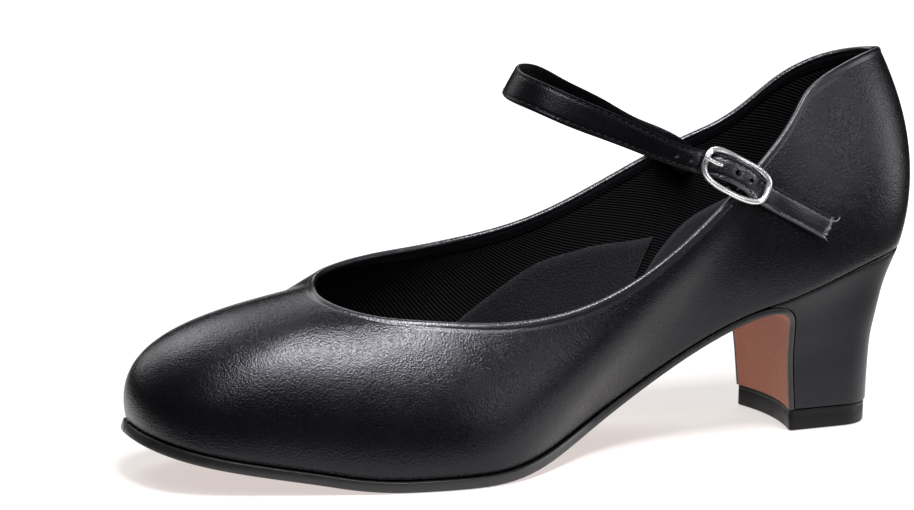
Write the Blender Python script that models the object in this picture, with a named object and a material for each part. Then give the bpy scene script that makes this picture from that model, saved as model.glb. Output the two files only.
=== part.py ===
"""A left character shoe: a plain pump on a covered block heel, with a buckled instep strap.

The toe points along -Y, the outer side of the foot is +X and the floor is z = 0. The origin
is on the floor under the middle of the heel's top piece.
"""
import math

import bpy
import bmesh
import numpy as np
from mathutils import Vector

MM = 0.001

# The last: lengths along the foot, seen from above, and heights above the ball's level
FEATHER_LENGTH = 245 * MM      # heel to toe, along the upper's lower edge
FEATHER_BREADTH = 76 * MM      # across the ball
SEAT_OVERHANG = 24.2 * MM      # the seat's back end, behind the middle of the top piece
SEAT_RISE = 52.6 * MM          # the seat's back end
TOE_SPRING = 12.3 * MM         # the toe's tip
QUARTER_RISE = 60.7 * MM       # the collar's back, above the seat

# Thicknesses, and the clearance that touching pieces keep
GAP = 0.3 * MM
UPPER_WALL = 2.0 * MM
TURN_IN = 8.0 * MM             # width of the upper's lasting margin, turned in under the insole
EDGE_ROUND = 0.8 * MM
INSOLE_THICKNESS = 3.0 * MM
INSOLE_CUP = 1.2 * MM
INSOLE_FIT = 0.6 * MM          # from the upper's inside to the insole's edge
SOLE_THICKNESS = 3.0 * MM
SHANK_THICKNESS = 2.0 * MM
FLAP_THICKNESS = 1.5 * MM      # where the outsole runs down the heel's front
SOLE_MARGIN = 1.2 * MM         # how far the outsole stands out around the forepart

# The heel block and its top piece
LIFT_THICKNESS = 6.5 * MM
TIP_WIDTH = 38.0 * MM
TIP_BACK = 15.4 * MM
TIP_FRONT = 17.5 * MM          # the flap's face at the floor end of the heel's front
LIFT_INSET = 0.35 * MM
CORNER_ROUND = 1.5 * MM
BREAST_RAKE = 2.4 * MM         # how far the heel's front leans forward towards its upper end
BREAST_HOLLOW = 3.0 * MM
BREAST_SKEW = 2.4 * MM         # the outer end of the heel's front lies this much further forward
BEND_REACH = 18.5 * MM         # the flap leaves the shank this far in front of the heel's front
BEND_DROP = 11.4 * MM
BEND_FULLNESS = 0.6            # share of each arm of the bend that its curve follows
LIP_REACH = 12.4 * MM          # length of the heel's thin front lip

# The strap
STRAP_WIDTH = 9.0 * MM
STRAP_END_WIDTH = 7.1 * MM
STRAP_THICKNESS = 1.8 * MM
TAPER_FROM = 60 * MM           # the strap narrows from here, before the middle bar
TAPER_LENGTH = 40 * MM
STRAP_TAIL = 37 * MM           # from the buckle's middle bar to the strap's end
STRAP_SEWN = 10.0 * MM         # length sewn inside the inner quarter
STRAP_SEWN_AT = 0.272          # share of the foot's length where it crosses the inner topline
STRAP_SEWN_TURN = math.radians(30)
HOLE_DIAMETER = 2.0 * MM
HOLE_PITCH = 5.2 * MM
HOLES_BEFORE_PRONG = 3
HOLES_AFTER_PRONG = 2

# The buckle: a frame with a middle bar, a prong and the tab that ties the bar to the quarter
BUCKLE_AT = 0.2714             # share of the foot's length where it sits on the outer topline
BUCKLE_TURN = math.radians(21.3)
BUCKLE_OUT = 4.6 * MM          # from the topline to the middle bar
BUCKLE_LENGTH = 22.4 * MM      # between the middles of its end bars
BUCKLE_WIDTH = 10.6 * MM       # between the middles of its side rails
RAIL_RISE = 1.5 * MM           # its side rails stand this far above the middle bar
BUCKLE_ARCH = 1.3 * MM         # and its end bars this far above the rails
BUCKLE_SQUARENESS = 3.3
BAR_STRAIGHT = 0.68            # share of the middle bar that is straight; its ends rise to the rails
FRAME_WIRE = 1.7 * MM
BAR_WIRE = 1.3 * MM
PRONG_WIRE = 1.1 * MM
PRONG_BOW = 0.25 * MM          # how far the prong bends off a straight line
PRONG_HOLE_AT = 5.8 * MM       # from the middle bar, towards the toe
TAB_WIDTH = 7.0 * MM
TAB_THICKNESS = 1.2 * MM
TAB_LENGTH = 12.0 * MM
TAB_CLEARANCE = 0.65 * MM      # between the tab and the upper's wall
TAB_SLOT = 2.4 * MM            # in the middle of its fold, for the prong's eye

# How finely the surfaces are cut
STRAP_STEP = 3.6 * MM
BUCKLED_STEP = 1.4 * MM
BUCKLED_REACH = 14 * MM        # to either side of the middle bar
END_TRIM = 0.05 * MM           # a blunt end left where two sides meet
FLAT_WITHIN = 0.02 * MM
LOOP_STEPS = 5                 # pieces of the upper between two rows of its table
WALL_STEPS = 9
SURVEY_STEPS = 20
SURVEY_LEVELS = 41

# Underside of the upper from the heel: share of the length, share of the rise, slope in those
SHANK_ROWS = (
    (0.00, 1.000, -0.26),
    (0.22, 0.726, -1.20),
    (0.45, 0.188, -2.14),
    (0.64, 0.000, 0.00),
)
TOE_ROWS = (
    (0.72, 0.00, 0.0),
    (0.80, 0.15, 3.8),
    (1.00, 1.00, 6.7),
)

# The upper, once around from the heel's back over the outer side and the toe. foot_along and
# top_along are shares of the length from the heel, foot_across and top_across shares of the
# breadth, and the others shares of the quarter's rise: the topline's height over the underside
# below it, how far the wall leans out and rises from the foot, and how far it leans out and
# drops from the topline.
UPPER_COLUMNS = ("foot_along", "foot_across", "top_along", "top_across", "top_height",
                 "flare", "rise", "lean", "drop")
UPPER_ROWS = (
    ("heel_back", -0.002, 0.000, 0.016, 0.000, 1.019, 0.137, 0.40, 0.190, 0.35),
    ("outer_heel_corner", 0.026, 0.243, 0.072, 0.160, 1.038, 0.105, 0.36, 0.142, 0.31),
    ("outer_heel_side", 0.115, 0.331, 0.154, 0.243, 1.010, 0.085, 0.32, 0.061, 0.33),
    ("outer_breast", 0.237, 0.331, 0.206, 0.308, 0.858, 0.082, 0.30, 0.054, 0.24),
    ("outer_waist", 0.442, 0.297, 0.356, 0.394, 0.620, 0.083, 0.23, 0.039, 0.20),
    ("outer_ball", 0.613, 0.552, 0.592, 0.388, 0.659, 0.048, 0.23, 0.131, 0.20),
    ("outer_toe_side", 0.824, 0.442, 0.726, 0.280, 0.708, 0.049, 0.23, 0.231, 0.17),
    ("outer_toe_corner", 0.970, 0.252, 0.779, 0.123, 0.751, 0.040, 0.265, 0.403, 0.127),
    ("toe_tip", 1.003, -0.064, 0.779, -0.006, 0.783, 0.076, 0.385, 0.596, 0.093),
    ("inner_toe_corner", 0.962, -0.252, 0.770, -0.127, 0.791, 0.058, 0.289, 0.445, 0.165),
    ("inner_toe_side", 0.829, -0.403, 0.727, -0.263, 0.848, 0.036, 0.272, 0.264, 0.112),
    ("inner_ball", 0.690, -0.470, 0.587, -0.365, 0.895, 0.035, 0.27, 0.129, 0.20),
    ("inner_waist", 0.450, -0.300, 0.426, -0.347, 0.850, 0.082, 0.30, 0.051, 0.22),
    ("inner_breast", 0.240, -0.320, 0.227, -0.290, 0.815, 0.082, 0.30, 0.047, 0.25),
    ("inner_heel_side", 0.110, -0.330, 0.124, -0.246, 0.949, 0.082, 0.33, 0.070, 0.33),
    ("inner_heel_corner", 0.031, -0.240, 0.047, -0.162, 1.008, 0.100, 0.36, 0.120, 0.35),
)
OUTER_ROWS = 8                 # spans of that table on the outer side

# How much of the outsole's margin shows: share of the length, share of the margin
MARGIN_ROWS = ((0.00, 0.0), (0.28, 0.0), (0.45, 0.5), (0.62, 1.0), (0.93, 1.0), (1.00, 0.6))

# The heel block's walls: share of its height, share of the way from tip to seat outline
FLARE_ROWS = ((0.00, 0.00), (0.15, 0.02), (0.30, 0.05), (0.45, 0.12), (0.60, 0.28),
              (0.80, 0.54), (1.00, 1.00))
TIP_SQUARENESS = 2.3

# The strap's free loop from the inner side: shares of the length, the breadth and the
# quarter's rise, and how far its upper edge leans into the loop
STRAP_ROWS = (
    (0.327, -0.284, 1.010, 0.30),
    (0.370, -0.284, 1.203, 0.31),
    (0.434, -0.219, 1.460, 0.38),
    (0.493, -0.102, 1.656, 0.48),
    (0.532, 0.020, 1.715, 0.55),
    (0.543, 0.132, 1.703, 0.60),
    (0.531, 0.236, 1.657, 0.58),
    (0.498, 0.316, 1.553, 0.40),
    (0.447, 0.363, 1.386, 0.15),
    (0.380, 0.378, 1.126, 0.00),
)
# Through the buckle: shares of half its length and width, and height over the middle bar
BUCKLED_ROWS = (
    (-1.00, -0.12, 0.45 * MM),
    (-0.85, -0.04, 0.50 * MM),
    (-0.50, 0.06, 2.05 * MM),
    (0.00, 0.10, 3.30 * MM),
    (0.50, 0.05, 2.10 * MM),
    (0.85, -0.03, 0.50 * MM),
    (1.00, -0.05, 0.45 * MM),
)
TAIL_FROM = 1.45               # in shares of the buckle's half length: the tail lies flat
TAIL_SHIFT = -0.03             # of half the buckle's width, to the strap's free end


def clear_scene():
    for thing in list(bpy.data.objects):
        bpy.data.objects.remove(thing, do_unlink=True)


def collection(name):
    group = bpy.data.collections.new(name)
    bpy.context.scene.collection.children.link(group)
    return group


def material(name, color, roughness, metallic=0.0):
    made = bpy.data.materials.new(name)
    made.use_nodes = True
    shader = made.node_tree.nodes["Principled BSDF"]
    shader.inputs["Base Color"].default_value = (*color, 1.0)
    shader.inputs["Roughness"].default_value = roughness
    shader.inputs["Metallic"].default_value = metallic
    return made


def add_mesh(name, points, faces, look=None):
    """A mesh object with its faces turned out; look is None for a cutter."""
    mesh = bpy.data.meshes.new(name)
    mesh.from_pydata([tuple(map(float, p)) for p in points], [], faces)
    body = bmesh.new()
    body.from_mesh(mesh)
    bmesh.ops.recalc_face_normals(body, faces=body.faces)
    body.to_mesh(mesh)
    body.free()
    made = bpy.data.objects.new(name, mesh)
    place(made, look)
    return made


def place(made, look):
    """Put an object among the parts with its material, or among the cutters."""
    for group in list(made.users_collection):
        group.objects.unlink(made)
    if look is None:
        bpy.data.collections["cutters"].objects.link(made)
        made.hide_render = True
        made.display_type = "WIRE"
        return
    bpy.data.collections["character_shoe"].objects.link(made)
    made.data.materials.clear()
    made.data.materials.append(look)
    if made.type == "MESH":
        made.data.shade_smooth()
        made.data.set_sharp_from_angle(angle=math.radians(35))


def stack(name, layers, look=None):
    """A body between grids of points: the first and last are its faces, the rest shape its sides."""
    layers = np.asarray(layers, float)
    count, rows, columns, _ = layers.shape
    rim = ([(0, c) for c in range(columns)] + [(r, columns - 1) for r in range(1, rows)]
           + [(rows - 1, c) for c in range(columns - 2, -1, -1)]
           + [(r, 0) for r in range(rows - 2, 0, -1)])
    points, index, faces = [], {}, []
    for level in range(count):
        whole = level in (0, count - 1)
        cells = [(r, c) for r in range(rows) for c in range(columns)] if whole else rim
        for cell in cells:
            index[(level, *cell)] = len(points)
            points.append(layers[(level, *cell)])
    for level in (0, count - 1):
        for r in range(rows - 1):
            for c in range(columns - 1):
                corners = ((r, c), (r, c + 1), (r + 1, c + 1), (r + 1, c))
                faces.append([index[(level, *corner)] for corner in corners])
    for level in range(count - 1):
        for here, there in zip(rim, rim[1:] + rim[:1]):
            faces.append([index[(level, *here)], index[(level, *there)],
                          index[(level + 1, *there)], index[(level + 1, *here)]])
    return add_mesh(name, points, faces, look)


def loft(name, sections, look=None, ring=False):
    """Closed sections joined in order; a ring's last section joins its first."""
    sections = np.asarray(sections, float)
    count, around, _ = sections.shape
    faces = []
    for s in range(count if ring else count - 1):
        for k in range(around):
            step = (k + 1) % around
            after = (s + 1) % count
            faces.append([s * around + k, s * around + step,
                          after * around + step, after * around + k])
    if not ring:
        faces.append(list(range(around)))
        faces.append([(count - 1) * around + k for k in range(around)])
    return add_mesh(name, sections.reshape(-1, 3), faces, look)


def boolean(target, tool, operation):
    """Cut or join, and apply; the tool stays among the cutters."""
    step = target.modifiers.new(operation.lower(), "BOOLEAN")
    step.operation = operation
    step.object = tool
    step.solver = "EXACT"
    evaluated = target.evaluated_get(bpy.context.evaluated_depsgraph_get())
    mesh = bpy.data.meshes.new_from_object(evaluated)
    target.modifiers.clear()
    target.data = mesh
    target.data.shade_smooth()
    target.data.set_sharp_from_angle(angle=math.radians(35))


def wire(name, points, diameter, look, closed=False, sides=2):
    """A round wire through points, made a mesh with its end caps welded."""
    curve = bpy.data.curves.new(name, "CURVE")
    curve.dimensions = "3D"
    curve.bevel_depth = diameter / 2
    curve.bevel_resolution = sides
    curve.use_fill_caps = not closed
    line = curve.splines.new("POLY")
    line.points.add(len(points) - 1)
    for point, at in zip(line.points, points):
        point.co = (*map(float, at), 1.0)
    line.use_cyclic_u = closed
    guide = bpy.data.objects.new(name + "_line", curve)
    bpy.context.scene.collection.objects.link(guide)
    bpy.context.view_layer.update()
    mesh = bpy.data.meshes.new_from_object(
        guide.evaluated_get(bpy.context.evaluated_depsgraph_get()))
    bpy.data.objects.remove(guide, do_unlink=True)
    body = bmesh.new()
    body.from_mesh(mesh)
    bmesh.ops.remove_doubles(body, verts=body.verts, dist=0.01 * MM)
    bmesh.ops.recalc_face_normals(body, faces=body.faces)
    body.to_mesh(mesh)
    body.free()
    made = bpy.data.objects.new(name, mesh)
    place(made, look)
    return made


def rod(name, start, end, diameter, look=None, sides=16):
    """A round bar or round cutter between two points."""
    start, end = Vector(start), Vector(end)
    bpy.ops.mesh.primitive_cylinder_add(vertices=sides, radius=diameter / 2,
                                        depth=(end - start).length)
    made = bpy.context.active_object
    made.name = made.data.name = name
    made.rotation_mode = "QUATERNION"
    made.rotation_quaternion = (end - start).to_track_quat("Z", "Y")
    made.location = (start + end) / 2
    place(made, look)
    bpy.context.view_layer.update()
    return made


def unit(vectors):
    vectors = np.asarray(vectors, float)
    return vectors / np.linalg.norm(vectors, axis=-1, keepdims=True)


def hermite(rows, at):
    """Value at a share of the length, through rows of share, value and slope."""
    rows = np.asarray(rows, float)
    at = np.asarray(at, float)
    place_of = np.clip(np.searchsorted(rows[:, 0], at, side="right") - 1, 0, len(rows) - 2)
    low, high = rows[place_of], rows[place_of + 1]
    span = high[..., 0] - low[..., 0]
    t = (at - low[..., 0]) / span
    return ((2 * t**3 - 3 * t**2 + 1) * low[..., 1] + (t**3 - 2 * t**2 + t) * span * low[..., 2]
            + (3 * t**2 - 2 * t**3) * high[..., 1] + (t**3 - t**2) * span * high[..., 2])


def ring_spline(values, steps):
    """A smooth closed curve through rows of values, with steps points to each row."""
    values = np.asarray(values, float)
    count = len(values)
    matrix = 4 * np.eye(count) + np.roll(np.eye(count), 1, 0) + np.roll(np.eye(count), -1, 0)
    after, before = np.roll(values, -1, 0), np.roll(values, 1, 0)
    slopes = np.linalg.solve(matrix, 3 * (after - before))
    t = (np.arange(steps) / steps)[:, None, None]
    curve = ((2 * t**3 - 3 * t**2 + 1) * values + (t**3 - 2 * t**2 + t) * slopes
             + (3 * t**2 - 2 * t**3) * after + (t**3 - t**2) * np.roll(slopes, -1, 0))
    return curve.transpose(1, 0, 2).reshape(count * steps, -1)


def open_spline(knots, values, at):
    """A natural cubic curve through values at knots, read at other places."""
    knots, values, at = (np.asarray(a, float) for a in (knots, values, at))
    if values.ndim == 1:
        values = values[:, None]
    count = len(knots)
    span = np.diff(knots)
    matrix, side = np.eye(count), np.zeros_like(values)
    for i in range(1, count - 1):
        matrix[i, i - 1:i + 2] = span[i - 1], 2 * (span[i - 1] + span[i]), span[i]
        side[i] = 6 * ((values[i + 1] - values[i]) / span[i]
                       - (values[i] - values[i - 1]) / span[i - 1])
    bend = np.linalg.solve(matrix, side)
    i = np.clip(np.searchsorted(knots, at, side="right") - 1, 0, count - 2)
    h = span[i][:, None]
    a = (knots[i + 1] - at)[:, None] / h
    b = 1 - a
    return (a * values[i] + b * values[i + 1]
            + ((a**3 - a) * bend[i] + (b**3 - b) * bend[i + 1]) * h**2 / 6)


def y_of(along):
    return SEAT_OVERHANG - FEATHER_LENGTH * np.asarray(along, float)


def along_of(y):
    return (SEAT_OVERHANG - np.asarray(y, float)) / FEATHER_LENGTH


def underside(y):
    """Height of the upper's underside over the floor."""
    along = along_of(y)
    shank = np.where(along < SHANK_ROWS[-1][0], hermite(SHANK_ROWS, along), 0.0)
    toe = np.where(along > TOE_ROWS[0][0], hermite(TOE_ROWS, along), 0.0)
    return SOLE_THICKNESS + GAP + SEAT_RISE * shank + TOE_SPRING * toe


def upper_columns(steps):
    rows = ring_spline([row[1:] for row in UPPER_ROWS], steps)
    return dict(zip(UPPER_COLUMNS, rows.T))


def feather(steps):
    """The upper's lower edge and its outward direction, seen from above."""
    column = upper_columns(steps)
    edge = np.column_stack([column["foot_across"] * FEATHER_BREADTH, y_of(column["foot_along"])])
    run = unit(np.roll(edge, -1, 0) - np.roll(edge, 1, 0))
    return edge, np.column_stack([-run[:, 1], run[:, 0]])


def upper_surface(steps, levels):
    """The upper's outside, levels from foot (0) to topline (1), and its outward normals."""
    column = upper_columns(steps)
    edge, out = feather(steps)
    foot = np.column_stack([edge, underside(edge[:, 1])])
    out = np.column_stack([out, np.zeros(len(out))])
    up = np.array([0.0, 0.0, 1.0])
    top_y = y_of(column["top_along"])
    top = np.column_stack([column["top_across"] * FEATHER_BREADTH, top_y,
                           underside(top_y) + column["top_height"] * QUARTER_RISE])
    handle = {name: (column[name] * QUARTER_RISE)[:, None]
              for name in ("flare", "rise", "lean", "drop")}
    low = foot + handle["flare"] * out + handle["rise"] * up
    high = top + handle["lean"] * out - handle["drop"] * up
    v = np.asarray(levels, float)[:, None, None]
    points = ((1 - v)**3 * foot + 3 * (1 - v)**2 * v * low
              + 3 * (1 - v) * v**2 * high + v**3 * top)
    around = np.roll(points, -1, 1) - np.roll(points, 1, 1)
    rising = (-3 * (1 - v)**2 * foot + (3 * (1 - v)**2 - 6 * (1 - v) * v) * low
              + (6 * (1 - v) * v - 3 * v**2) * high + 3 * v**2 * top)
    return points, unit(np.cross(rising, around)), unit(rising)


def half_outline(outward, side):
    """The feather edge moved outward, as x over y, on the outer (1) or inner (-1) side."""
    edge, out = feather(SURVEY_STEPS)
    moved = edge + out * np.asarray(outward(along_of(edge[:, 1])))[:, None]
    back, front = moved[:, 1].argmax(), moved[:, 1].argmin()
    if side > 0:
        picks = np.arange(back, front + 1 + (len(edge) if front < back else 0)) % len(edge)
    else:
        picks = np.arange(back, front - 1 - (len(edge) if front > back else 0), -1) % len(edge)
    x, y = moved[picks].T
    order = np.argsort(y)
    return y[order], x[order]


def eased(start, end, count, tight_start, tight_end):
    """Places from start to end, closer together at the ends that are tight."""
    t = np.linspace(0, 1, count)
    if tight_start and tight_end:
        t = (1 - np.cos(math.pi * t)) / 2
    elif tight_start:
        t = 1 - np.cos(math.pi * t / 2)
    elif tight_end:
        t = np.sin(math.pi * t / 2)
    return start + (end - start) * t


def smooth_step(t):
    t = np.clip(t, 0, 1)
    return t * t * (3 - 2 * t)


def build_upper(look):
    """One shell, open at the top and underneath, with its lasting margin turned in."""
    inner_round = EDGE_ROUND / 2
    levels = np.linspace(0, 1, WALL_STEPS + 1)
    top_share = 1 - EDGE_ROUND / (0.5 * QUARTER_RISE)
    levels = np.append(levels[1:-1], top_share)
    points, normals, rising = upper_surface(LOOP_STEPS, np.append(levels, 1.0))
    edge, out = feather(LOOP_STEPS)
    out = np.column_stack([out, np.zeros(len(out))])
    up = np.array([0.0, 0.0, 1.0])

    def floor_at(inset, lift):
        moved = edge - out[:, :2] * inset
        return np.column_stack([moved, underside(moved[:, 1]) + lift])

    top, top_normal = points[-1], normals[-1]
    outer = list(points[:-1])
    inner = [p - UPPER_WALL * n for p, n in zip(points[:-1], normals[:-1])]
    crown = [top - share * UPPER_WALL * top_normal for share in (0.3, 0.7)]
    shell = ([floor_at(TURN_IN, 0), floor_at(EDGE_ROUND, 0),
              floor_at(0.25 * EDGE_ROUND, 0.3 * EDGE_ROUND), floor_at(0, EDGE_ROUND)]
             + outer + crown + inner[::-1]
             + [floor_at(UPPER_WALL, UPPER_WALL + inner_round),
                floor_at(UPPER_WALL + inner_round, UPPER_WALL), floor_at(TURN_IN, UPPER_WALL)])
    return loft("upper", np.array(shell).transpose(1, 0, 2), look, ring=True)


def build_insole(look):
    inset = UPPER_WALL + INSOLE_FIT
    sides = [half_outline(lambda along: -inset + 0 * along, side) for side in (-1, 1)]
    front = max(y[0] for y, _ in sides) + END_TRIM
    back = min(y[-1] for y, _ in sides) - END_TRIM
    y = eased(back, front, 34, True, True)
    inner_x, outer_x = (np.interp(y, *side) for side in sides)
    across = np.linspace(0, 1, 5)
    x = inner_x[:, None] + (outer_x - inner_x)[:, None] * across
    base = underside(y)[:, None] + UPPER_WALL + GAP + 0 * x
    cup = INSOLE_CUP * smooth_step((0.5 - along_of(y)) / 0.3)[:, None] * (2 * across - 1)**4
    y = y[:, None] + 0 * x
    low = np.stack([x, y, base], -1)
    high = np.stack([x, y, base + INSOLE_THICKNESS + cup], -1)
    return stack("insole", [low, high], look)


def seat_outline(side):
    return half_outline(lambda along: 0 * along, side)


def tip_half_width(y):
    """Half the width of the heel's lower end, from its front to its round back."""
    share = np.clip(np.asarray(y, float) / TIP_BACK, 0, 1)
    return TIP_WIDTH / 2 * (1 - share**TIP_SQUARENESS)**(1 / TIP_SQUARENESS)


HEEL_BOTTOM = LIFT_THICKNESS + GAP
FLAP_COLUMNS = np.linspace(-1, 1, 7)


def breast_y(height_share):
    """The flap's hidden side on the heel's front, from its lower end (0) to the bend (1)."""
    return -TIP_FRONT + FLAP_THICKNESS - BREAST_RAKE * height_share


def heel_front():
    """Foremost end of the block before its front is cut."""
    return breast_y(1) - BEND_REACH


def flare(height_share):
    knots, values = zip(*FLARE_ROWS)
    return open_spline(knots, values, np.clip(height_share, 0, 1))[:, 0]


def heel_side(y, z, side):
    """Where the block's wall is at a point of its length and height, on one side."""
    y, z = np.atleast_1d(y).astype(float), np.atleast_1d(z).astype(float)
    blend = flare((z - HEEL_BOTTOM) / (underside(y) - GAP - HEEL_BOTTOM))
    seat_y, seat_x = seat_outline(side)
    front = heel_front()
    back = TIP_BACK + (seat_y[-1] - TIP_BACK) * blend
    share = (y - front) / (back - front)
    tip = tip_half_width(front + share * (TIP_BACK - front))
    seat = np.abs(np.interp(front + share * (seat_y[-1] - front), seat_y, seat_x))
    return side * (tip + (seat - tip) * blend)


def flap_path():
    """The outsole's upper side from the shank to the heel's lower end: y, z, blend and station.

    blend is 0 where the outsole lies under the upper and 1 on the heel's front.
    """
    bend_end_y = breast_y(1)
    bend_end = np.array([bend_end_y, underside(bend_end_y) - GAP - BEND_DROP])
    start_y = bend_end_y - BEND_REACH
    start = np.array([start_y, underside(start_y) - GAP])
    step = 1 * MM
    run = unit(np.array([step, underside(start_y + step) - underside(start_y)]))
    reach = BEND_REACH * BEND_FULLNESS
    first = start + run * reach
    second = bend_end + np.array([0.0, BEND_DROP * BEND_FULLNESS])
    t = np.linspace(0, 1, 11)[1:, None]
    bend = ((1 - t)**3 * start + 3 * (1 - t)**2 * t * first + 3 * (1 - t) * t**2 * second
            + t**3 * bend_end)
    height = np.linspace(1, 0, 5)[1:, None]
    breast = np.hstack([breast_y(height), HEEL_BOTTOM + height * (bend_end[1] - HEEL_BOTTOM)])
    path = np.vstack([start, bend, breast])
    blend = np.concatenate([[0], smooth_step(t[:, 0]), np.ones(len(breast))])
    return path, blend


def path_normals(path):
    """Directions square to a path in y and z, towards the open side of the arch."""
    run = unit(np.gradient(path, axis=0))
    return np.column_stack([run[:, 1], -run[:, 0]])


def flap_grid(line, blend, edges, columns):
    """Points across a line of the outsole's upper side, hollowed where it covers the heel."""
    middle, half = (edges[0] + edges[1]) / 2, (edges[1] - edges[0]) / 2
    x = middle[:, None] + half[:, None] * columns
    back = blend[:, None] * (BREAST_HOLLOW * (1 - columns**2) - BREAST_SKEW / 2 * columns)
    return np.stack([x, line[:, :1] + back, line[:, 1:] + 0 * x], -1)


def heel_sides(line):
    return [heel_side(line[:, 0], line[:, 1], side) for side in (-1, 1)]


def build_outsole(look):
    """Forepart and shank under the upper, and the flap that runs down the heel's front."""
    margin_knots, margin_shares = zip(*MARGIN_ROWS)

    def outward(along):
        return SOLE_MARGIN * np.interp(along, margin_knots, margin_shares)

    sides = [half_outline(outward, side) for side in (-1, 1)]
    toe = max(y[0] for y, _ in sides) + END_TRIM
    path, blend = flap_path()
    y = eased(toe, path[0, 0], 34, True, False)[:-1]
    front = np.column_stack([y, underside(y) - GAP])
    line = np.vstack([front, path])
    blend = np.concatenate([np.zeros(len(front)), blend])
    normal = path_normals(line)
    shank = smooth_step((0.60 - along_of(line[:, 0])) / 0.28)
    thickness = SOLE_THICKNESS + (SHANK_THICKNESS - SOLE_THICKNESS) * shank
    thickness = thickness + (FLAP_THICKNESS - thickness) * blend
    edges = [np.where(blend > 0, on_heel, np.interp(line[:, 0], edge_y, edge_x))
             for on_heel, (edge_y, edge_x) in zip(heel_sides(line), sides)]
    hidden = flap_grid(line, blend, edges, FLAP_COLUMNS)
    drop = (normal * thickness[:, None])[:, None]
    shown = hidden.copy()
    shown[..., 1:] += drop
    flat = np.abs(shown[..., 2]) < FLAT_WITHIN
    shown[..., 2][flat] = 0.0
    bottom_end = hidden[-1, :, 2].max()
    shown[-1, :, 2] = bottom_end
    return stack("outsole", [hidden, shown], look)


def heel_cutter():
    """Everything in front of the heel block: the arch, the flap and its clearance."""
    path, blend = flap_path()
    lip = breast_y(1) - LIP_REACH
    keep = path[:, 0] > lip
    path, blend = path[keep], blend[keep]
    columns = np.concatenate([[-1.4], FLAP_COLUMNS, [1.4]])
    grid = flap_grid(path, blend, heel_sides(path), columns)
    grid[..., 1:] -= (path_normals(path) * GAP)[:, None]
    above = grid[:1] + np.array([0, 0, SEAT_RISE])
    above[..., 1] = grid[0, :, 1]
    below = grid[-1:] - np.array([0, 0, SEAT_RISE])
    grid = np.concatenate([above, grid, below])
    far = grid.copy()
    far[..., 1] = -FEATHER_LENGTH
    return stack("heel_cutter", [grid, far])


def build_heel(look):
    """The block under the seat, with a hollow front and a thin lip under the shank."""
    seat_y, _ = seat_outline(1)
    front = heel_front()
    share = eased(0, 1 - 0.004, 18, False, True)
    layers = []
    for height in np.linspace(0, 1, 9):
        blend = flare([height])[0]
        back = TIP_BACK + (seat_y[-1] - TIP_BACK) * blend
        y = front + share * (back - front)
        z = HEEL_BOTTOM + height * (underside(y) - GAP - HEEL_BOTTOM)
        inner, outer = heel_side(y, z, -1), heel_side(y, z, 1)
        layers.append(np.stack([np.stack([x, y, z], -1) for x in (inner, outer)], 1))
    block = stack("heel", layers, look)
    boolean(block, heel_cutter(), "DIFFERENCE")
    return block


def build_top_lift(look):
    """The piece that the heel stands on, flush with the flap's face."""
    front, back = -TIP_FRONT, TIP_BACK - LIFT_INSET
    corner = [0.0, 0.15, 0.5, 1.0]
    y = np.concatenate([front + CORNER_ROUND * np.array(corner),
                        eased(front + CORNER_ROUND, back - END_TRIM, 14, False, True)[1:]])
    into = np.clip(1 - (y - front) / CORNER_ROUND, 0, 1)
    half = tip_half_width(y * TIP_BACK / back) - LIFT_INSET
    half = half - CORNER_ROUND * (1 - np.sqrt(1 - into**2))
    hollow = np.clip(y / front, 0, 1)
    layers = [flap_grid(np.column_stack([y, 0 * y + z]), hollow, (-half, half), FLAP_COLUMNS)
              for z in (0.0, LIFT_THICKNESS)]
    return stack("top_lift", layers, look)


class Survey:
    """The upper's surface, dense enough to seat other pieces on."""

    def __init__(self):
        self.points, self.normals, self.rising = upper_surface(
            SURVEY_STEPS, np.linspace(0, 1, SURVEY_LEVELS))
        self.half = OUTER_ROWS * SURVEY_STEPS

    def topline(self, along, side, turn):
        """A point of the topline, with the direction down the wall turned, and the normal."""
        picks = slice(0, self.half) if side > 0 else slice(None, self.half - 1, -1)
        top = self.points[-1, picks]
        columns = np.hstack([top, self.normals[-1, picks], np.gradient(top, axis=0)])
        order = np.argsort(top[:, 1])
        at = [np.interp(y_of(along), top[order, 1], column) for column in columns[order].T]
        point, normal, run = np.array(at[:3]), unit(at[3:6]), -unit(at[6:])
        down = side * unit(np.cross(run, normal))
        return point, unit(math.cos(turn) * down + math.sin(turn) * run), normal

    def seat(self, point, side, offset):
        """The point moved to a distance outside (or, negative, inside) the wall nearest it."""
        picks = slice(0, self.half) if side > 0 else slice(self.half, None)
        near = self.points[:, picks].reshape(-1, 3)
        normals = self.normals[:, picks].reshape(-1, 3)
        k = ((near - point)**2).sum(1).argmin()
        height = (point - near[k]) @ normals[k]
        return point + (offset - height) * normals[k], normals[k]


def ribbon(points, facing, widths, thickness):
    """Sections of a flat band through points, its broad side turned to facing."""
    run = unit(np.gradient(points, axis=0))
    across = unit(np.cross(facing, run))
    face = unit(np.cross(run, across))
    half = np.asarray(widths)[:, None] / 2
    chamfer = 0.25 * thickness
    corners = ((1, -0.5, 0, 1), (1, 0.5, 0, -1), (1, 0.5, -1, 0), (-1, 0.5, 1, 0),
               (-1, 0.5, 0, -1), (-1, -0.5, 0, 1), (-1, -0.5, 1, 0), (1, -0.5, -1, 0))
    sections = []
    for side, level, in_across, in_face in corners:
        sections.append(points + across * (side * half + in_across * chamfer)
                        + face * (level * thickness + in_face * chamfer))
    return np.array(sections).transpose(1, 0, 2)


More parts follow.
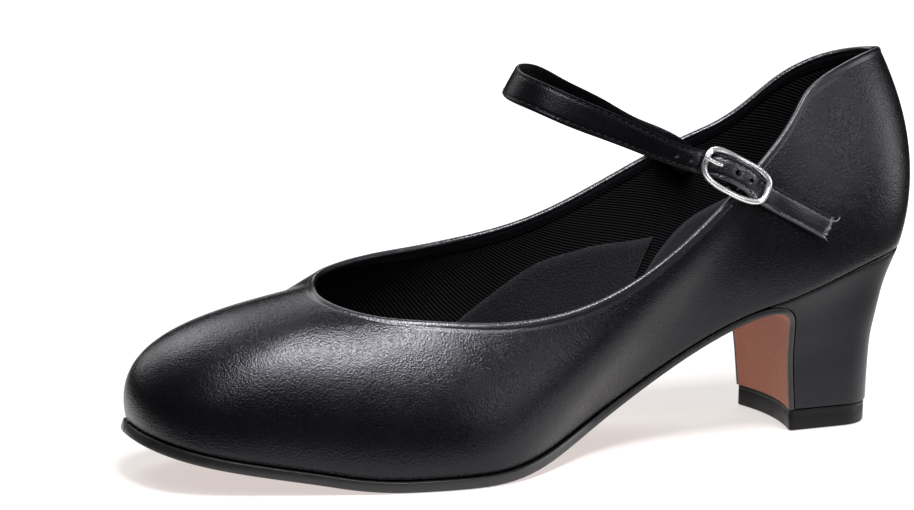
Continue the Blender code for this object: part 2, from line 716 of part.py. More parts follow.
class Buckle:
    """Where the buckle sits: its middle bar's centre, the strap's direction, up and across."""

    def __init__(self, survey):
        top, self.run, self.out = survey.topline(BUCKLE_AT, 1, BUCKLE_TURN)
        self.across = unit(np.cross(self.out, self.run))
        under_strap = BUCKLED_ROWS[-1][2] - STRAP_THICKNESS / 2
        self.height = GAP - under_strap
        self.middle = top - BUCKLE_OUT * self.run + self.height * self.out
        self.half = BUCKLE_LENGTH / 2

    def at(self, run, out=0.0, across=0.0):
        return self.middle + run * self.run + out * self.out + across * self.across


def strap_line(survey, buckle):
    """The strap's middle line from inside the inner quarter to its free end, and its facing."""
    points, facing = [], []
    top, run, _ = survey.topline(STRAP_SEWN_AT, -1, STRAP_SEWN_TURN)
    sewn_depth = -(UPPER_WALL + 2 * GAP + STRAP_THICKNESS / 2)
    for share in (1.0, 0.55, 0.12):
        point, normal = survey.seat(top + share * STRAP_SEWN * run, -1, sewn_depth)
        points.append(point)
        facing.append(normal)
    rows = np.array(STRAP_ROWS)
    y = y_of(rows[:, 0])
    loop = np.column_stack([rows[:, 1] * FEATHER_BREADTH, y,
                            underside(y) + rows[:, 2] * QUARTER_RISE])
    heading = unit(np.gradient(loop, axis=0))
    outward = np.column_stack([heading[:, 1], -heading[:, 0], np.zeros(len(loop))])
    outward = unit(outward * np.where(outward[:, :1] * loop[:, :1] + outward[:, 1:2] * -1 > 0, 1, -1))
    points.extend(loop)
    facing.extend(unit(outward + rows[:, 3:] * np.array([0, 0, 1.0])))
    for run_share, across_share, out in BUCKLED_ROWS:
        points.append(buckle.at(run_share * buckle.half, out, across_share * BUCKLE_WIDTH / 2))
        facing.append(buckle.out)
    tail_start = buckle.half * TAIL_FROM
    for reach in np.linspace(tail_start, STRAP_TAIL, 3):
        flat = buckle.at(reach, 0, TAIL_SHIFT * BUCKLE_WIDTH / 2)
        point, normal = survey.seat(flat, 1, GAP * 1.5 + STRAP_THICKNESS / 2)
        points.append(point)
        facing.append(normal)
    return np.array(points), np.array(facing)


def build_strap(survey, buckle, look):
    knots, facing = strap_line(survey, buckle)
    lengths = np.concatenate([[0], np.cumsum(np.linalg.norm(np.diff(knots, axis=0), axis=1))])
    bar_at = lengths[3 + len(STRAP_ROWS) + 3]
    close = np.arange(bar_at - BUCKLED_REACH, bar_at + BUCKLED_REACH, BUCKLED_STEP)
    far = np.concatenate([np.arange(0, close[0], STRAP_STEP),
                          np.linspace(close[-1] + BUCKLED_STEP, lengths[-1], 6)])
    at = np.sort(np.concatenate([far, close]))
    at = at[np.concatenate([[True], np.diff(at) > BUCKLED_STEP / 2])]
    line = open_spline(lengths, knots, at)
    face = unit(open_spline(lengths, facing, at))
    taper = smooth_step((at - (bar_at - TAPER_FROM)) / TAPER_LENGTH)
    widths = STRAP_WIDTH + (STRAP_END_WIDTH - STRAP_WIDTH) * taper
    strap = loft("strap", ribbon(line, face, widths, STRAP_THICKNESS), look)
    run = unit(np.gradient(line, axis=0))
    for number in range(-HOLES_BEFORE_PRONG, HOLES_AFTER_PRONG + 1):
        place_at = bar_at - PRONG_HOLE_AT + number * HOLE_PITCH
        middle, axis = hole_frame(at, line, run, face, place_at)
        tool = rod("strap_hole_%d" % (number + HOLES_BEFORE_PRONG),
                   middle - axis * STRAP_THICKNESS, middle + axis * STRAP_THICKNESS,
                   HOLE_DIAMETER, None, 12)
        boolean(strap, tool, "DIFFERENCE")
    return hole_frame(at, line, run, face, bar_at - PRONG_HOLE_AT)


def hole_frame(at, line, run, face, place_at):
    """A point of the strap's middle line and the direction straight through the strap there."""
    middle = np.array([np.interp(place_at, at, line[:, k]) for k in range(3)])
    heading = unit(np.array([np.interp(place_at, at, run[:, k]) for k in range(3)]))
    facing = np.array([np.interp(place_at, at, face[:, k]) for k in range(3)])
    return middle, unit(facing - heading * (facing @ heading))


def build_buckle_frame(buckle, look):
    """A rounded rectangle of wire, arched, with a lower middle bar whose ends rise to it."""
    power = 2 / BUCKLE_SQUARENESS
    points = []
    for turn in np.linspace(0, 2 * math.pi, 48, endpoint=False):
        c, s = math.cos(turn), math.sin(turn)
        run = math.copysign(abs(c)**power, c)
        across = math.copysign(abs(s)**power, s) * BUCKLE_WIDTH / 2
        points.append(buckle.at(run * buckle.half, RAIL_RISE + BUCKLE_ARCH * run**2, across))
    frame = wire("buckle_frame", even(points, 56), FRAME_WIRE, look, closed=True)
    bar = wire("middle_bar", middle_bar(buckle, 15), BAR_WIRE, None)
    boolean(frame, bar, "UNION")
    return frame


def middle_bar(buckle, count):
    share = np.linspace(-1, 1, count)
    rise = RAIL_RISE * smooth_step((np.abs(share) - BAR_STRAIGHT) / (1 - BAR_STRAIGHT))
    return np.array([buckle.at(0, out, across * BUCKLE_WIDTH / 2) for out, across in zip(rise, share)])


def even(points, count):
    """A closed line's points, evenly spaced."""
    points = np.array(points)
    closed = np.vstack([points, points[:1]])
    length = np.concatenate([[0], np.cumsum(np.linalg.norm(np.diff(closed, axis=0), axis=1))])
    at = np.linspace(0, length[-1], count, endpoint=False)
    return np.column_stack([np.interp(at, length, closed[:, k]) for k in range(3)])


def build_prong(buckle, hole, look):
    """A wire from its eye around the middle bar, up through the strap, onto the end bar."""
    middle, axis = hole
    eye = BAR_WIRE / 2 + GAP + PRONG_WIRE / 2
    rest_out = RAIL_RISE + BUCKLE_ARCH + FRAME_WIRE / 2 + GAP + PRONG_WIRE / 2
    through = STRAP_THICKNESS / 2 + GAP + PRONG_WIRE / 2
    turns = [buckle.at(eye * math.cos(a), eye * math.sin(a))
             for a in np.linspace(math.radians(140), math.radians(-150), 13)]
    start = turns[-1]
    below = middle - axis * (through + 1.4 * PRONG_BOW)
    knots = [start, start + (below - start) * 0.55 - PRONG_BOW * buckle.out, below, middle,
             middle + axis * (through + 0.8 * PRONG_BOW),
             buckle.at(-0.80 * buckle.half, rest_out - PRONG_BOW),
             buckle.at(-buckle.half, rest_out + 0.2 * PRONG_BOW),
             buckle.at(-1.13 * buckle.half, rest_out - 1.2 * PRONG_BOW)]
    knots = np.array(knots)
    lengths = np.concatenate([[0], np.cumsum(np.linalg.norm(np.diff(knots, axis=0), axis=1))])
    line = open_spline(lengths, knots, np.linspace(0, lengths[-1], 22))
    return wire("buckle_prong", np.vstack([turns[:-1], line]), PRONG_WIRE, look)


def build_tab(survey, buckle, look):
    """The strip that ties the middle bar to the inside of the outer quarter."""
    ring_inner = BAR_WIRE / 2 + GAP
    ring_outer = ring_inner + TAB_THICKNESS / 2
    half = TAB_WIDTH / 2
    depth = -(UPPER_WALL + TAB_CLEARANCE + TAB_THICKNESS / 2)
    drop = depth - buckle.height
    knots = [buckle.at(run * BUCKLE_OUT, out * drop)
             for run, out in ((0.20, 0.24), (0.42, 0.62), (0.68, 0.90), (0.95, 1.02))]
    for share in (0.15, 0.4, 0.7, 1.0):
        knots.append(survey.seat(buckle.at(BUCKLE_OUT + share * TAB_LENGTH), 1, depth)[0])
    knots = np.array(knots)
    lengths = np.concatenate([[0], np.cumsum(np.linalg.norm(np.diff(knots, axis=0), axis=1))])
    at = np.linspace(0, lengths[-1], 16)
    line = open_spline(lengths, knots, at)
    face = np.cross(unit(np.gradient(line, axis=0)), buckle.across)
    tab = loft("buckle_tab", ribbon(line, face, np.full(len(at), TAB_WIDTH), TAB_THICKNESS), look)
    sleeve = rod("tab_sleeve", buckle.at(0, 0, -half), buckle.at(0, 0, half), 2 * ring_outer)
    boolean(tab, sleeve, "UNION")
    bore = rod("tab_bore", buckle.at(0, 0, -TAB_WIDTH), buckle.at(0, 0, TAB_WIDTH), 2 * ring_inner)
    boolean(tab, bore, "DIFFERENCE")
    reach = ring_outer + TAB_THICKNESS
    corners = [[[buckle.at(run, out, across) for across in (-TAB_SLOT / 2, TAB_SLOT / 2)]
                for run in (-reach, reach)] for out in (-reach, reach)]
    boolean(tab, stack("tab_slot", corners), "DIFFERENCE")
    return tab


def main():
    clear_scene()
    collection("character_shoe")
    collection("cutters")
    black_leather = material("black_leather", (0.012, 0.012, 0.014), 0.42)
    build_upper(black_leather)
    build_insole(material("charcoal_fabric", (0.025, 0.025, 0.027), 0.9))
    build_outsole(material("tan_outsole", (0.55, 0.33, 0.25), 0.6))
    build_heel(material("black_heel_cover", (0.012, 0.012, 0.014), 0.45))
    build_top_lift(material("black_rubber", (0.008, 0.008, 0.008), 0.6))
    survey = Survey()
    buckle = Buckle(survey)
    hole = build_strap(survey, buckle, material("black_strap_leather", (0.012, 0.012, 0.014), 0.35))
    silver = material("polished_silver", (0.85, 0.85, 0.87), 0.12, 1.0)
    build_buckle_frame(buckle, silver)
    build_prong(buckle, hole, silver)
    build_tab(survey, buckle, material("black_elastic", (0.01, 0.01, 0.011), 0.8))


main()
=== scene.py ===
"""The dressed character shoe: leather, lining, stitching, buckle, and the light around it."""
import math

import bpy
import bmesh
import numpy as np
from mathutils import Matrix, Vector


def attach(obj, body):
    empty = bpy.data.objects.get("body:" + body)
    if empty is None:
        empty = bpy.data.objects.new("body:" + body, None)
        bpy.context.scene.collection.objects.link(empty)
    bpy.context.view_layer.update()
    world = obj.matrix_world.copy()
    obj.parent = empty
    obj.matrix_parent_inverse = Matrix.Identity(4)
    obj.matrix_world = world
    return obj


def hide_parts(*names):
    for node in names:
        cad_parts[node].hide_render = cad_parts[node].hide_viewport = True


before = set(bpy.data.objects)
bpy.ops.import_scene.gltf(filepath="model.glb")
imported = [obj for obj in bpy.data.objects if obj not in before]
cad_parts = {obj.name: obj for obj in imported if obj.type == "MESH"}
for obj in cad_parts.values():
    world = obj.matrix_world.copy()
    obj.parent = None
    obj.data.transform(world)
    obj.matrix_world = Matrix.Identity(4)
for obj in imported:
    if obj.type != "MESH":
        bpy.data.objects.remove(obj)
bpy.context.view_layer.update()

# The solids' own sizes and tables, so that each dressed piece lies on its solid. The buckle tab
# is shown as the solid itself, in its own material.
MM = 0.001

# The last: lengths along the foot, seen from above, and heights above the ball's level
FEATHER_LENGTH = 245 * MM      # heel to toe, along the upper's lower edge
FEATHER_BREADTH = 76 * MM      # across the ball
SEAT_OVERHANG = 24.2 * MM      # the seat's back end, behind the middle of the top piece
SEAT_RISE = 52.6 * MM          # the seat's back end
TOE_SPRING = 12.3 * MM         # the toe's tip
QUARTER_RISE = 60.7 * MM       # the collar's back, above the seat

# Thicknesses, and the clearance that touching pieces keep
GAP = 0.3 * MM
UPPER_WALL = 2.0 * MM
TURN_IN = 8.0 * MM             # width of the upper's lasting margin, turned in under the insole
INSOLE_THICKNESS = 3.0 * MM
INSOLE_CUP = 1.2 * MM
INSOLE_FIT = 0.6 * MM          # from the upper's inside to the insole's edge
SOLE_THICKNESS = 3.0 * MM
SHANK_THICKNESS = 2.0 * MM
FLAP_THICKNESS = 1.5 * MM      # where the outsole runs down the heel's front
SOLE_MARGIN = 1.2 * MM         # how far the outsole stands out around the forepart

# The heel block and its top piece
LIFT_THICKNESS = 6.5 * MM
TIP_WIDTH = 38.0 * MM
TIP_BACK = 15.4 * MM
TIP_FRONT = 17.5 * MM          # the flap's face at the floor end of the heel's front
LIFT_INSET = 0.35 * MM
CORNER_ROUND = 1.5 * MM
BREAST_RAKE = 2.4 * MM         # how far the heel's front leans forward towards its upper end
BREAST_HOLLOW = 3.0 * MM
BREAST_SKEW = 2.4 * MM         # the outer end of the heel's front lies this much further forward
BEND_REACH = 18.5 * MM         # the flap leaves the shank this far in front of the heel's front
BEND_DROP = 11.4 * MM
BEND_FULLNESS = 0.6            # share of each arm of the bend that its curve follows
LIP_REACH = 12.4 * MM          # length of the heel's thin front lip

# The strap
STRAP_WIDTH = 9.0 * MM
STRAP_END_WIDTH = 7.1 * MM
STRAP_THICKNESS = 1.8 * MM
TAPER_FROM = 60 * MM           # the strap narrows from here, before the middle bar
TAPER_LENGTH = 40 * MM
STRAP_TAIL = 37 * MM           # from the buckle's middle bar to the strap's end
STRAP_SEWN = 10.0 * MM         # length sewn inside the inner quarter
STRAP_SEWN_AT = 0.272          # share of the foot's length where it crosses the inner topline
STRAP_SEWN_TURN = math.radians(30)
HOLE_DIAMETER = 2.0 * MM
HOLE_PITCH = 5.2 * MM
HOLES_BEFORE_PRONG = 3
HOLES_AFTER_PRONG = 2

# The buckle: a frame with a middle bar, a prong and the tab that ties the bar to the quarter
BUCKLE_AT = 0.2714             # share of the foot's length where it sits on the outer topline
BUCKLE_TURN = math.radians(21.3)
BUCKLE_OUT = 4.6 * MM          # from the topline to the middle bar
BUCKLE_LENGTH = 22.4 * MM      # between the middles of its end bars
BUCKLE_WIDTH = 10.6 * MM       # between the middles of its side rails
RAIL_RISE = 1.5 * MM           # its side rails stand this far above the middle bar
BUCKLE_ARCH = 1.3 * MM         # and its end bars this far above the rails
BUCKLE_SQUARENESS = 3.3
BAR_STRAIGHT = 0.68            # share of the middle bar that is straight; its ends rise
FRAME_WIRE = 1.7 * MM
BAR_WIRE = 1.3 * MM
PRONG_WIRE = 1.1 * MM
PRONG_BOW = 0.25 * MM          # how far the prong bends off a straight line
PRONG_HOLE_AT = 5.8 * MM       # from the middle bar, towards the toe

# Underside of the upper from the heel: share of the length, share of the rise, slope in those
SHANK_ROWS = (
    (0.00, 1.000, -0.26),
    (0.22, 0.726, -1.20),
    (0.45, 0.188, -2.14),
    (0.64, 0.000, 0.00),
)
TOE_ROWS = (
    (0.72, 0.00, 0.0),
    (0.80, 0.15, 3.8),
    (1.00, 1.00, 6.7),
)

# The upper, once around from the heel's back over the outer side and the toe. foot_along and
# top_along are shares of the length from the heel, foot_across and top_across shares of the
# breadth, and the others shares of the quarter's rise: the topline's height over the underside
# below it, how far the wall leans out and rises from the foot, and how far it leans out and
# drops from the topline.
UPPER_COLUMNS = ("foot_along", "foot_across", "top_along", "top_across", "top_height",
                 "flare", "rise", "lean", "drop")
UPPER_ROWS = (
    ("heel_back", -0.002, 0.000, 0.016, 0.000, 1.019, 0.137, 0.40, 0.190, 0.35),
    ("outer_heel_corner", 0.026, 0.243, 0.072, 0.160, 1.038, 0.105, 0.36, 0.142, 0.31),
    ("outer_heel_side", 0.115, 0.331, 0.154, 0.243, 1.010, 0.085, 0.32, 0.061, 0.33),
    ("outer_breast", 0.237, 0.331, 0.206, 0.308, 0.858, 0.082, 0.30, 0.054, 0.24),
    ("outer_waist", 0.442, 0.297, 0.356, 0.394, 0.620, 0.083, 0.23, 0.039, 0.20),
    ("outer_ball", 0.613, 0.552, 0.592, 0.388, 0.659, 0.048, 0.23, 0.131, 0.20),
    ("outer_toe_side", 0.824, 0.442, 0.726, 0.280, 0.708, 0.049, 0.23, 0.231, 0.17),
    ("outer_toe_corner", 0.970, 0.252, 0.779, 0.123, 0.751, 0.040, 0.265, 0.403, 0.127),
    ("toe_tip", 1.003, -0.064, 0.779, -0.006, 0.783, 0.076, 0.385, 0.596, 0.093),
    ("inner_toe_corner", 0.962, -0.252, 0.770, -0.127, 0.791, 0.058, 0.289, 0.445, 0.165),
    ("inner_toe_side", 0.829, -0.403, 0.727, -0.263, 0.848, 0.036, 0.272, 0.264, 0.112),
    ("inner_ball", 0.690, -0.470, 0.587, -0.365, 0.895, 0.035, 0.27, 0.129, 0.20),
    ("inner_waist", 0.450, -0.300, 0.426, -0.347, 0.850, 0.082, 0.30, 0.051, 0.22),
    ("inner_breast", 0.240, -0.320, 0.227, -0.290, 0.815, 0.082, 0.30, 0.047, 0.25),
    ("inner_heel_side", 0.110, -0.330, 0.124, -0.246, 0.949, 0.082, 0.33, 0.070, 0.33),
    ("inner_heel_corner", 0.031, -0.240, 0.047, -0.162, 1.008, 0.100, 0.36, 0.120, 0.35),
)
OUTER_ROWS = 8                 # spans of that table on the outer side

# How much of the outsole's margin shows: share of the length, share of the margin
MARGIN_ROWS = ((0.00, 0.0), (0.28, 0.0), (0.45, 0.5), (0.62, 1.0), (0.93, 1.0), (1.00, 0.6))

# The heel block's walls: share of its height, share of the way from tip to seat outline
FLARE_ROWS = ((0.00, 0.00), (0.15, 0.02), (0.30, 0.05), (0.45, 0.12), (0.60, 0.28),
              (0.80, 0.54), (1.00, 1.00))
TIP_SQUARENESS = 2.3

# The strap's free loop from the inner side: shares of the length, the breadth and the
# quarter's rise, and how far its upper edge leans into the loop
STRAP_ROWS = (
    (0.327, -0.284, 1.010, 0.30),
    (0.370, -0.284, 1.203, 0.31),
    (0.434, -0.219, 1.460, 0.38),
    (0.493, -0.102, 1.656, 0.48),
    (0.532, 0.020, 1.715, 0.55),
    (0.543, 0.132, 1.703, 0.60),
    (0.531, 0.236, 1.657, 0.58),
    (0.498, 0.316, 1.553, 0.40),
    (0.447, 0.363, 1.386, 0.15),
    (0.380, 0.378, 1.126, 0.00),
)
# Through the buckle: shares of half its length and width, and height over the middle bar
BUCKLED_ROWS = (
    (-1.00, -0.12, 0.45 * MM),
    (-0.85, -0.04, 0.50 * MM),
    (-0.50, 0.06, 2.05 * MM),
    (0.00, 0.10, 3.30 * MM),
    (0.50, 0.05, 2.10 * MM),
    (0.85, -0.03, 0.50 * MM),
    (1.00, -0.05, 0.45 * MM),
)
TAIL_FROM = 1.45               # in shares of the buckle's half length: the tail lies flat
TAIL_SHIFT = -0.03             # of half the buckle's width, to the strap's free end

SURVEY_STEPS = 20
SURVEY_LEVELS = 41


def unit(vectors):
    vectors = np.asarray(vectors, float)
    return vectors / np.linalg.norm(vectors, axis=-1, keepdims=True)


def bezier(a, b, c, d, t):
    return (1 - t)**3 * a + 3 * (1 - t)**2 * t * b + 3 * (1 - t) * t**2 * c + t**3 * d


def lengths_along(points):
    """Distance from a line's first point to each of its points."""
    return np.concatenate([[0], np.cumsum(np.linalg.norm(np.diff(points, axis=0), axis=1))])


def read_at(at, knots, rows):
    """Rows of values, given at knots, read at other places."""
    return np.stack([np.interp(at, knots, column) for column in np.transpose(rows)], -1)


def hermite(rows, at):
    """Value at a share of the length, through rows of share, value and slope."""
    rows = np.asarray(rows, float)
    at = np.asarray(at, float)
    place_of = np.clip(np.searchsorted(rows[:, 0], at, side="right") - 1, 0, len(rows) - 2)
    low, high = rows[place_of], rows[place_of + 1]
    span = high[..., 0] - low[..., 0]
    t = (at - low[..., 0]) / span
    return ((2 * t**3 - 3 * t**2 + 1) * low[..., 1] + (t**3 - 2 * t**2 + t) * span * low[..., 2]
            + (3 * t**2 - 2 * t**3) * high[..., 1] + (t**3 - t**2) * span * high[..., 2])


def ring_spline(values, steps):
    """A smooth closed curve through rows of values, with steps points to each row."""
    values = np.asarray(values, float)
    count = len(values)
    matrix = 4 * np.eye(count) + np.roll(np.eye(count), 1, 0) + np.roll(np.eye(count), -1, 0)
    after, before = np.roll(values, -1, 0), np.roll(values, 1, 0)
    slopes = np.linalg.solve(matrix, 3 * (after - before))
    t = (np.arange(steps) / steps)[:, None, None]
    curve = ((2 * t**3 - 3 * t**2 + 1) * values + (t**3 - 2 * t**2 + t) * slopes
             + (3 * t**2 - 2 * t**3) * after + (t**3 - t**2) * np.roll(slopes, -1, 0))
    return curve.transpose(1, 0, 2).reshape(count * steps, -1)


def open_spline(knots, values, at):
    """A natural cubic curve through values at knots, read at other places."""
    knots, values, at = (np.asarray(a, float) for a in (knots, values, at))
    if values.ndim == 1:
        values = values[:, None]
    count = len(knots)
    span = np.diff(knots)
    matrix, side = np.eye(count), np.zeros_like(values)
    for i in range(1, count - 1):
        matrix[i, i - 1:i + 2] = span[i - 1], 2 * (span[i - 1] + span[i]), span[i]
        side[i] = 6 * ((values[i + 1] - values[i]) / span[i]
                       - (values[i] - values[i - 1]) / span[i - 1])
    bend = np.linalg.solve(matrix, side)
    i = np.clip(np.searchsorted(knots, at, side="right") - 1, 0, count - 2)
    h = span[i][:, None]
    a = (knots[i + 1] - at)[:, None] / h
    b = 1 - a
    return (a * values[i] + b * values[i + 1]
            + ((a**3 - a) * bend[i] + (b**3 - b) * bend[i + 1]) * h**2 / 6)


def y_of(along):
    return SEAT_OVERHANG - FEATHER_LENGTH * np.asarray(along, float)


def along_of(y):
    return (SEAT_OVERHANG - np.asarray(y, float)) / FEATHER_LENGTH


def underside(y):
    """Height of the upper's underside over the floor."""
    along = along_of(y)
    shank = np.where(along < SHANK_ROWS[-1][0], hermite(SHANK_ROWS, along), 0.0)
    toe = np.where(along > TOE_ROWS[0][0], hermite(TOE_ROWS, along), 0.0)
    return SOLE_THICKNESS + GAP + SEAT_RISE * shank + TOE_SPRING * toe


def upper_columns(steps):
    rows = ring_spline([row[1:] for row in UPPER_ROWS], steps)
    return dict(zip(UPPER_COLUMNS, rows.T))


def feather(steps):
    """The upper's lower edge and its outward direction, seen from above."""
    column = upper_columns(steps)
    edge = np.column_stack([column["foot_across"] * FEATHER_BREADTH, y_of(column["foot_along"])])
    run = unit(np.roll(edge, -1, 0) - np.roll(edge, 1, 0))
    return edge, np.column_stack([-run[:, 1], run[:, 0]])


def surface_at(levels, steps):
    """The upper's outside at rows of levels from foot (0) to topline (1).

    Gives the points, their outward normals and the way the wall rises there.
    """
    column = upper_columns(steps)
    edge, out = feather(steps)
    foot = np.column_stack([edge, underside(edge[:, 1])])
    out = np.column_stack([out, np.zeros(len(out))])
    up = np.array([0.0, 0.0, 1.0])
    top_y = y_of(column["top_along"])
    top = np.column_stack([column["top_across"] * FEATHER_BREADTH, top_y,
                           underside(top_y) + column["top_height"] * QUARTER_RISE])
    flare_out, rise, lean, drop = ((column[name] * QUARTER_RISE)[:, None]
                                   for name in ("flare", "rise", "lean", "drop"))
    low = foot + flare_out * out + rise * up
    high = top + lean * out - drop * up
    v = levels[..., None]
    points = bezier(foot, low, high, top, v)
    around = np.roll(points, -1, 1) - np.roll(points, 1, 1)
    rising = (-3 * (1 - v)**2 * foot + (3 * (1 - v)**2 - 6 * (1 - v) * v) * low
              + (6 * (1 - v) * v - 3 * v**2) * high + 3 * v**2 * top)
    return points, unit(np.cross(rising, around)), rising


def half_outline(outward, side):
    """The feather edge moved outward, as x over y, on the outer (1) or inner (-1) side."""
    edge, out = feather(SURVEY_STEPS)
    moved = edge + out * np.asarray(outward(along_of(edge[:, 1])))[:, None]
    back, front = moved[:, 1].argmax(), moved[:, 1].argmin()
    if side > 0:
        picks = np.arange(back, front + 1 + (len(edge) if front < back else 0)) % len(edge)
    else:
        picks = np.arange(back, front - 1 - (len(edge) if front > back else 0), -1) % len(edge)
    x, y = moved[picks].T
    order = np.argsort(y)
    return y[order], x[order]


def eased(start, end, count, tight_start, tight_end):
    """Places from start to end, closer together at the ends that are tight."""
    t = np.linspace(0, 1, count)
    if tight_start and tight_end:
        t = (1 - np.cos(math.pi * t)) / 2
    elif tight_start:
        t = 1 - np.cos(math.pi * t / 2)
    elif tight_end:
        t = np.sin(math.pi * t / 2)
    return start + (end - start) * t


def smooth_step(t):
    t = np.clip(t, 0, 1)
    return t * t * (3 - 2 * t)


def seat_outline(side):
    return half_outline(lambda along: 0 * along, side)


def tip_half_width(y):
    """Half the width of the heel's lower end, from its front to its round back."""
    share = np.clip(np.asarray(y, float) / TIP_BACK, 0, 1)
    return TIP_WIDTH / 2 * (1 - share**TIP_SQUARENESS)**(1 / TIP_SQUARENESS)


HEEL_BOTTOM = LIFT_THICKNESS + GAP


def breast_y(height_share):
    """The flap's hidden side on the heel's front, from its lower end (0) to the bend (1)."""
    return -TIP_FRONT + FLAP_THICKNESS - BREAST_RAKE * height_share


def heel_front():
    """Foremost end of the block before its front is cut."""
    return breast_y(1) - BEND_REACH


def flare(height_share):
    knots, values = zip(*FLARE_ROWS)
    return open_spline(knots, values, np.clip(height_share, 0, 1))[:, 0]


def heel_side(y, z, side):
    """Where the block's wall is at a point of its length and height, on one side."""
    y, z = np.atleast_1d(y).astype(float), np.atleast_1d(z).astype(float)
    blend = flare((z - HEEL_BOTTOM) / (underside(y) - GAP - HEEL_BOTTOM))
    seat_y, seat_x = seat_outline(side)
    front = heel_front()
    back = TIP_BACK + (seat_y[-1] - TIP_BACK) * blend
    share = (y - front) / (back - front)
    tip = tip_half_width(front + share * (TIP_BACK - front))
    seat = np.abs(np.interp(front + share * (seat_y[-1] - front), seat_y, seat_x))
    return side * (tip + (seat - tip) * blend)


def flap_path():
    """The outsole's upper side from the shank to the heel's lower end, as y and z, and its blend.

    blend is 0 where the outsole lies under the upper and 1 on the heel's front.
    """
    bend_end_y = breast_y(1)
    bend_end = np.array([bend_end_y, underside(bend_end_y) - GAP - BEND_DROP])
    start_y = bend_end_y - BEND_REACH
    start = np.array([start_y, underside(start_y) - GAP])
    step = 1 * MM
    run = unit(np.array([step, underside(start_y + step) - underside(start_y)]))
    reach = BEND_REACH * BEND_FULLNESS
    first = start + run * reach
    second = bend_end + np.array([0.0, BEND_DROP * BEND_FULLNESS])
    t = np.linspace(0, 1, 11)[1:, None]
    bend = bezier(start, first, second, bend_end, t)
    height = np.linspace(1, 0, 5)[1:, None]
    breast = np.hstack([breast_y(height), HEEL_BOTTOM + height * (bend_end[1] - HEEL_BOTTOM)])
    path = np.vstack([start, bend, breast])
    blend = np.concatenate([[0], smooth_step(t[:, 0]), np.ones(len(breast))])
    return path, blend


def path_normals(path):
    """Directions square to a path in y and z, towards the open side of the arch."""
    run = unit(np.gradient(path, axis=0))
    return np.column_stack([run[:, 1], -run[:, 0]])


def flap_grid(line, blend, edges, columns):
    """Points across a line of the outsole's upper side, hollowed where it covers the heel."""
    middle, half = (edges[0] + edges[1]) / 2, (edges[1] - edges[0]) / 2
    x = middle[:, None] + half[:, None] * columns
    back = blend[:, None] * (BREAST_HOLLOW * (1 - columns**2) - BREAST_SKEW / 2 * columns)
    return np.stack([x, line[:, :1] + back, line[:, 1:] + 0 * x], -1)


def heel_sides(line):
    return [heel_side(line[:, 0], line[:, 1], side) for side in (-1, 1)]


class Survey:
    """The upper's surface, dense enough to seat other pieces on."""

    def __init__(self):
        levels = np.linspace(0, 1, SURVEY_LEVELS)[:, None]
        self.points, self.normals, _ = surface_at(levels, SURVEY_STEPS)
        self.half = OUTER_ROWS * SURVEY_STEPS

    def topline(self, along, side, turn):
        """A point of the topline, with the direction down the wall turned, and the normal."""
        picks = slice(0, self.half) if side > 0 else slice(None, self.half - 1, -1)
        top = self.points[-1, picks]
        columns = np.hstack([top, self.normals[-1, picks], np.gradient(top, axis=0)])
        order = np.argsort(top[:, 1])
        at = read_at(y_of(along), top[order, 1], columns[order])
        point, normal, run = at[:3], unit(at[3:6]), -unit(at[6:])
        down = side * unit(np.cross(run, normal))
        return point, unit(math.cos(turn) * down + math.sin(turn) * run), normal

    def seat(self, point, side, offset):
        """The point moved to a distance outside (or, negative, inside) the wall nearest it."""
        picks = slice(0, self.half) if side > 0 else slice(self.half, None)
        near = self.points[:, picks].reshape(-1, 3)
        normals = self.normals[:, picks].reshape(-1, 3)
        k = ((near - point)**2).sum(1).argmin()
        height = (point - near[k]) @ normals[k]
        return point + (offset - height) * normals[k], normals[k]


class Buckle:
    """Where the buckle sits: its middle bar's centre, the strap's direction, up and across."""

    def __init__(self, survey):
        top, self.run, self.out = survey.topline(BUCKLE_AT, 1, BUCKLE_TURN)
        self.across = unit(np.cross(self.out, self.run))
        under_strap = BUCKLED_ROWS[-1][2] - STRAP_THICKNESS / 2
        self.middle = top - BUCKLE_OUT * self.run + (GAP - under_strap) * self.out
        self.half = BUCKLE_LENGTH / 2

    def at(self, run, out=0.0, across=0.0):
        return self.middle + run * self.run + out * self.out + across * self.across


def strap_line(survey, buckle):
    """The strap's middle line from inside the inner quarter to its free end, and its facing."""
    points, facing = [], []
    top, run, _ = survey.topline(STRAP_SEWN_AT, -1, STRAP_SEWN_TURN)
    sewn_depth = -(UPPER_WALL + 2 * GAP + STRAP_THICKNESS / 2)
    for share in (1.0, 0.55, 0.12):
        point, normal = survey.seat(top + share * STRAP_SEWN * run, -1, sewn_depth)
        points.append(point)
        facing.append(normal)
    rows = np.array(STRAP_ROWS)
    y = y_of(rows[:, 0])
    loop = np.column_stack([rows[:, 1] * FEATHER_BREADTH, y,
                            underside(y) + rows[:, 2] * QUARTER_RISE])
    heading = unit(np.gradient(loop, axis=0))
    outward = np.column_stack([heading[:, 1], -heading[:, 0], np.zeros(len(loop))])
    away = outward[:, :1] * loop[:, :1] - outward[:, 1:2] > 0
    outward = unit(outward * np.where(away, 1, -1))
    points.extend(loop)
    facing.extend(unit(outward + rows[:, 3:] * np.array([0, 0, 1.0])))
    for run_share, across_share, out in BUCKLED_ROWS:
        points.append(buckle.at(run_share * buckle.half, out, across_share * BUCKLE_WIDTH / 2))
        facing.append(buckle.out)
    tail_start = buckle.half * TAIL_FROM
    for reach in np.linspace(tail_start, STRAP_TAIL, 3):
        flat = buckle.at(reach, 0, TAIL_SHIFT * BUCKLE_WIDTH / 2)
        point, normal = survey.seat(flat, 1, GAP * 1.5 + STRAP_THICKNESS / 2)
        points.append(point)
        facing.append(normal)
    return np.array(points), np.array(facing)


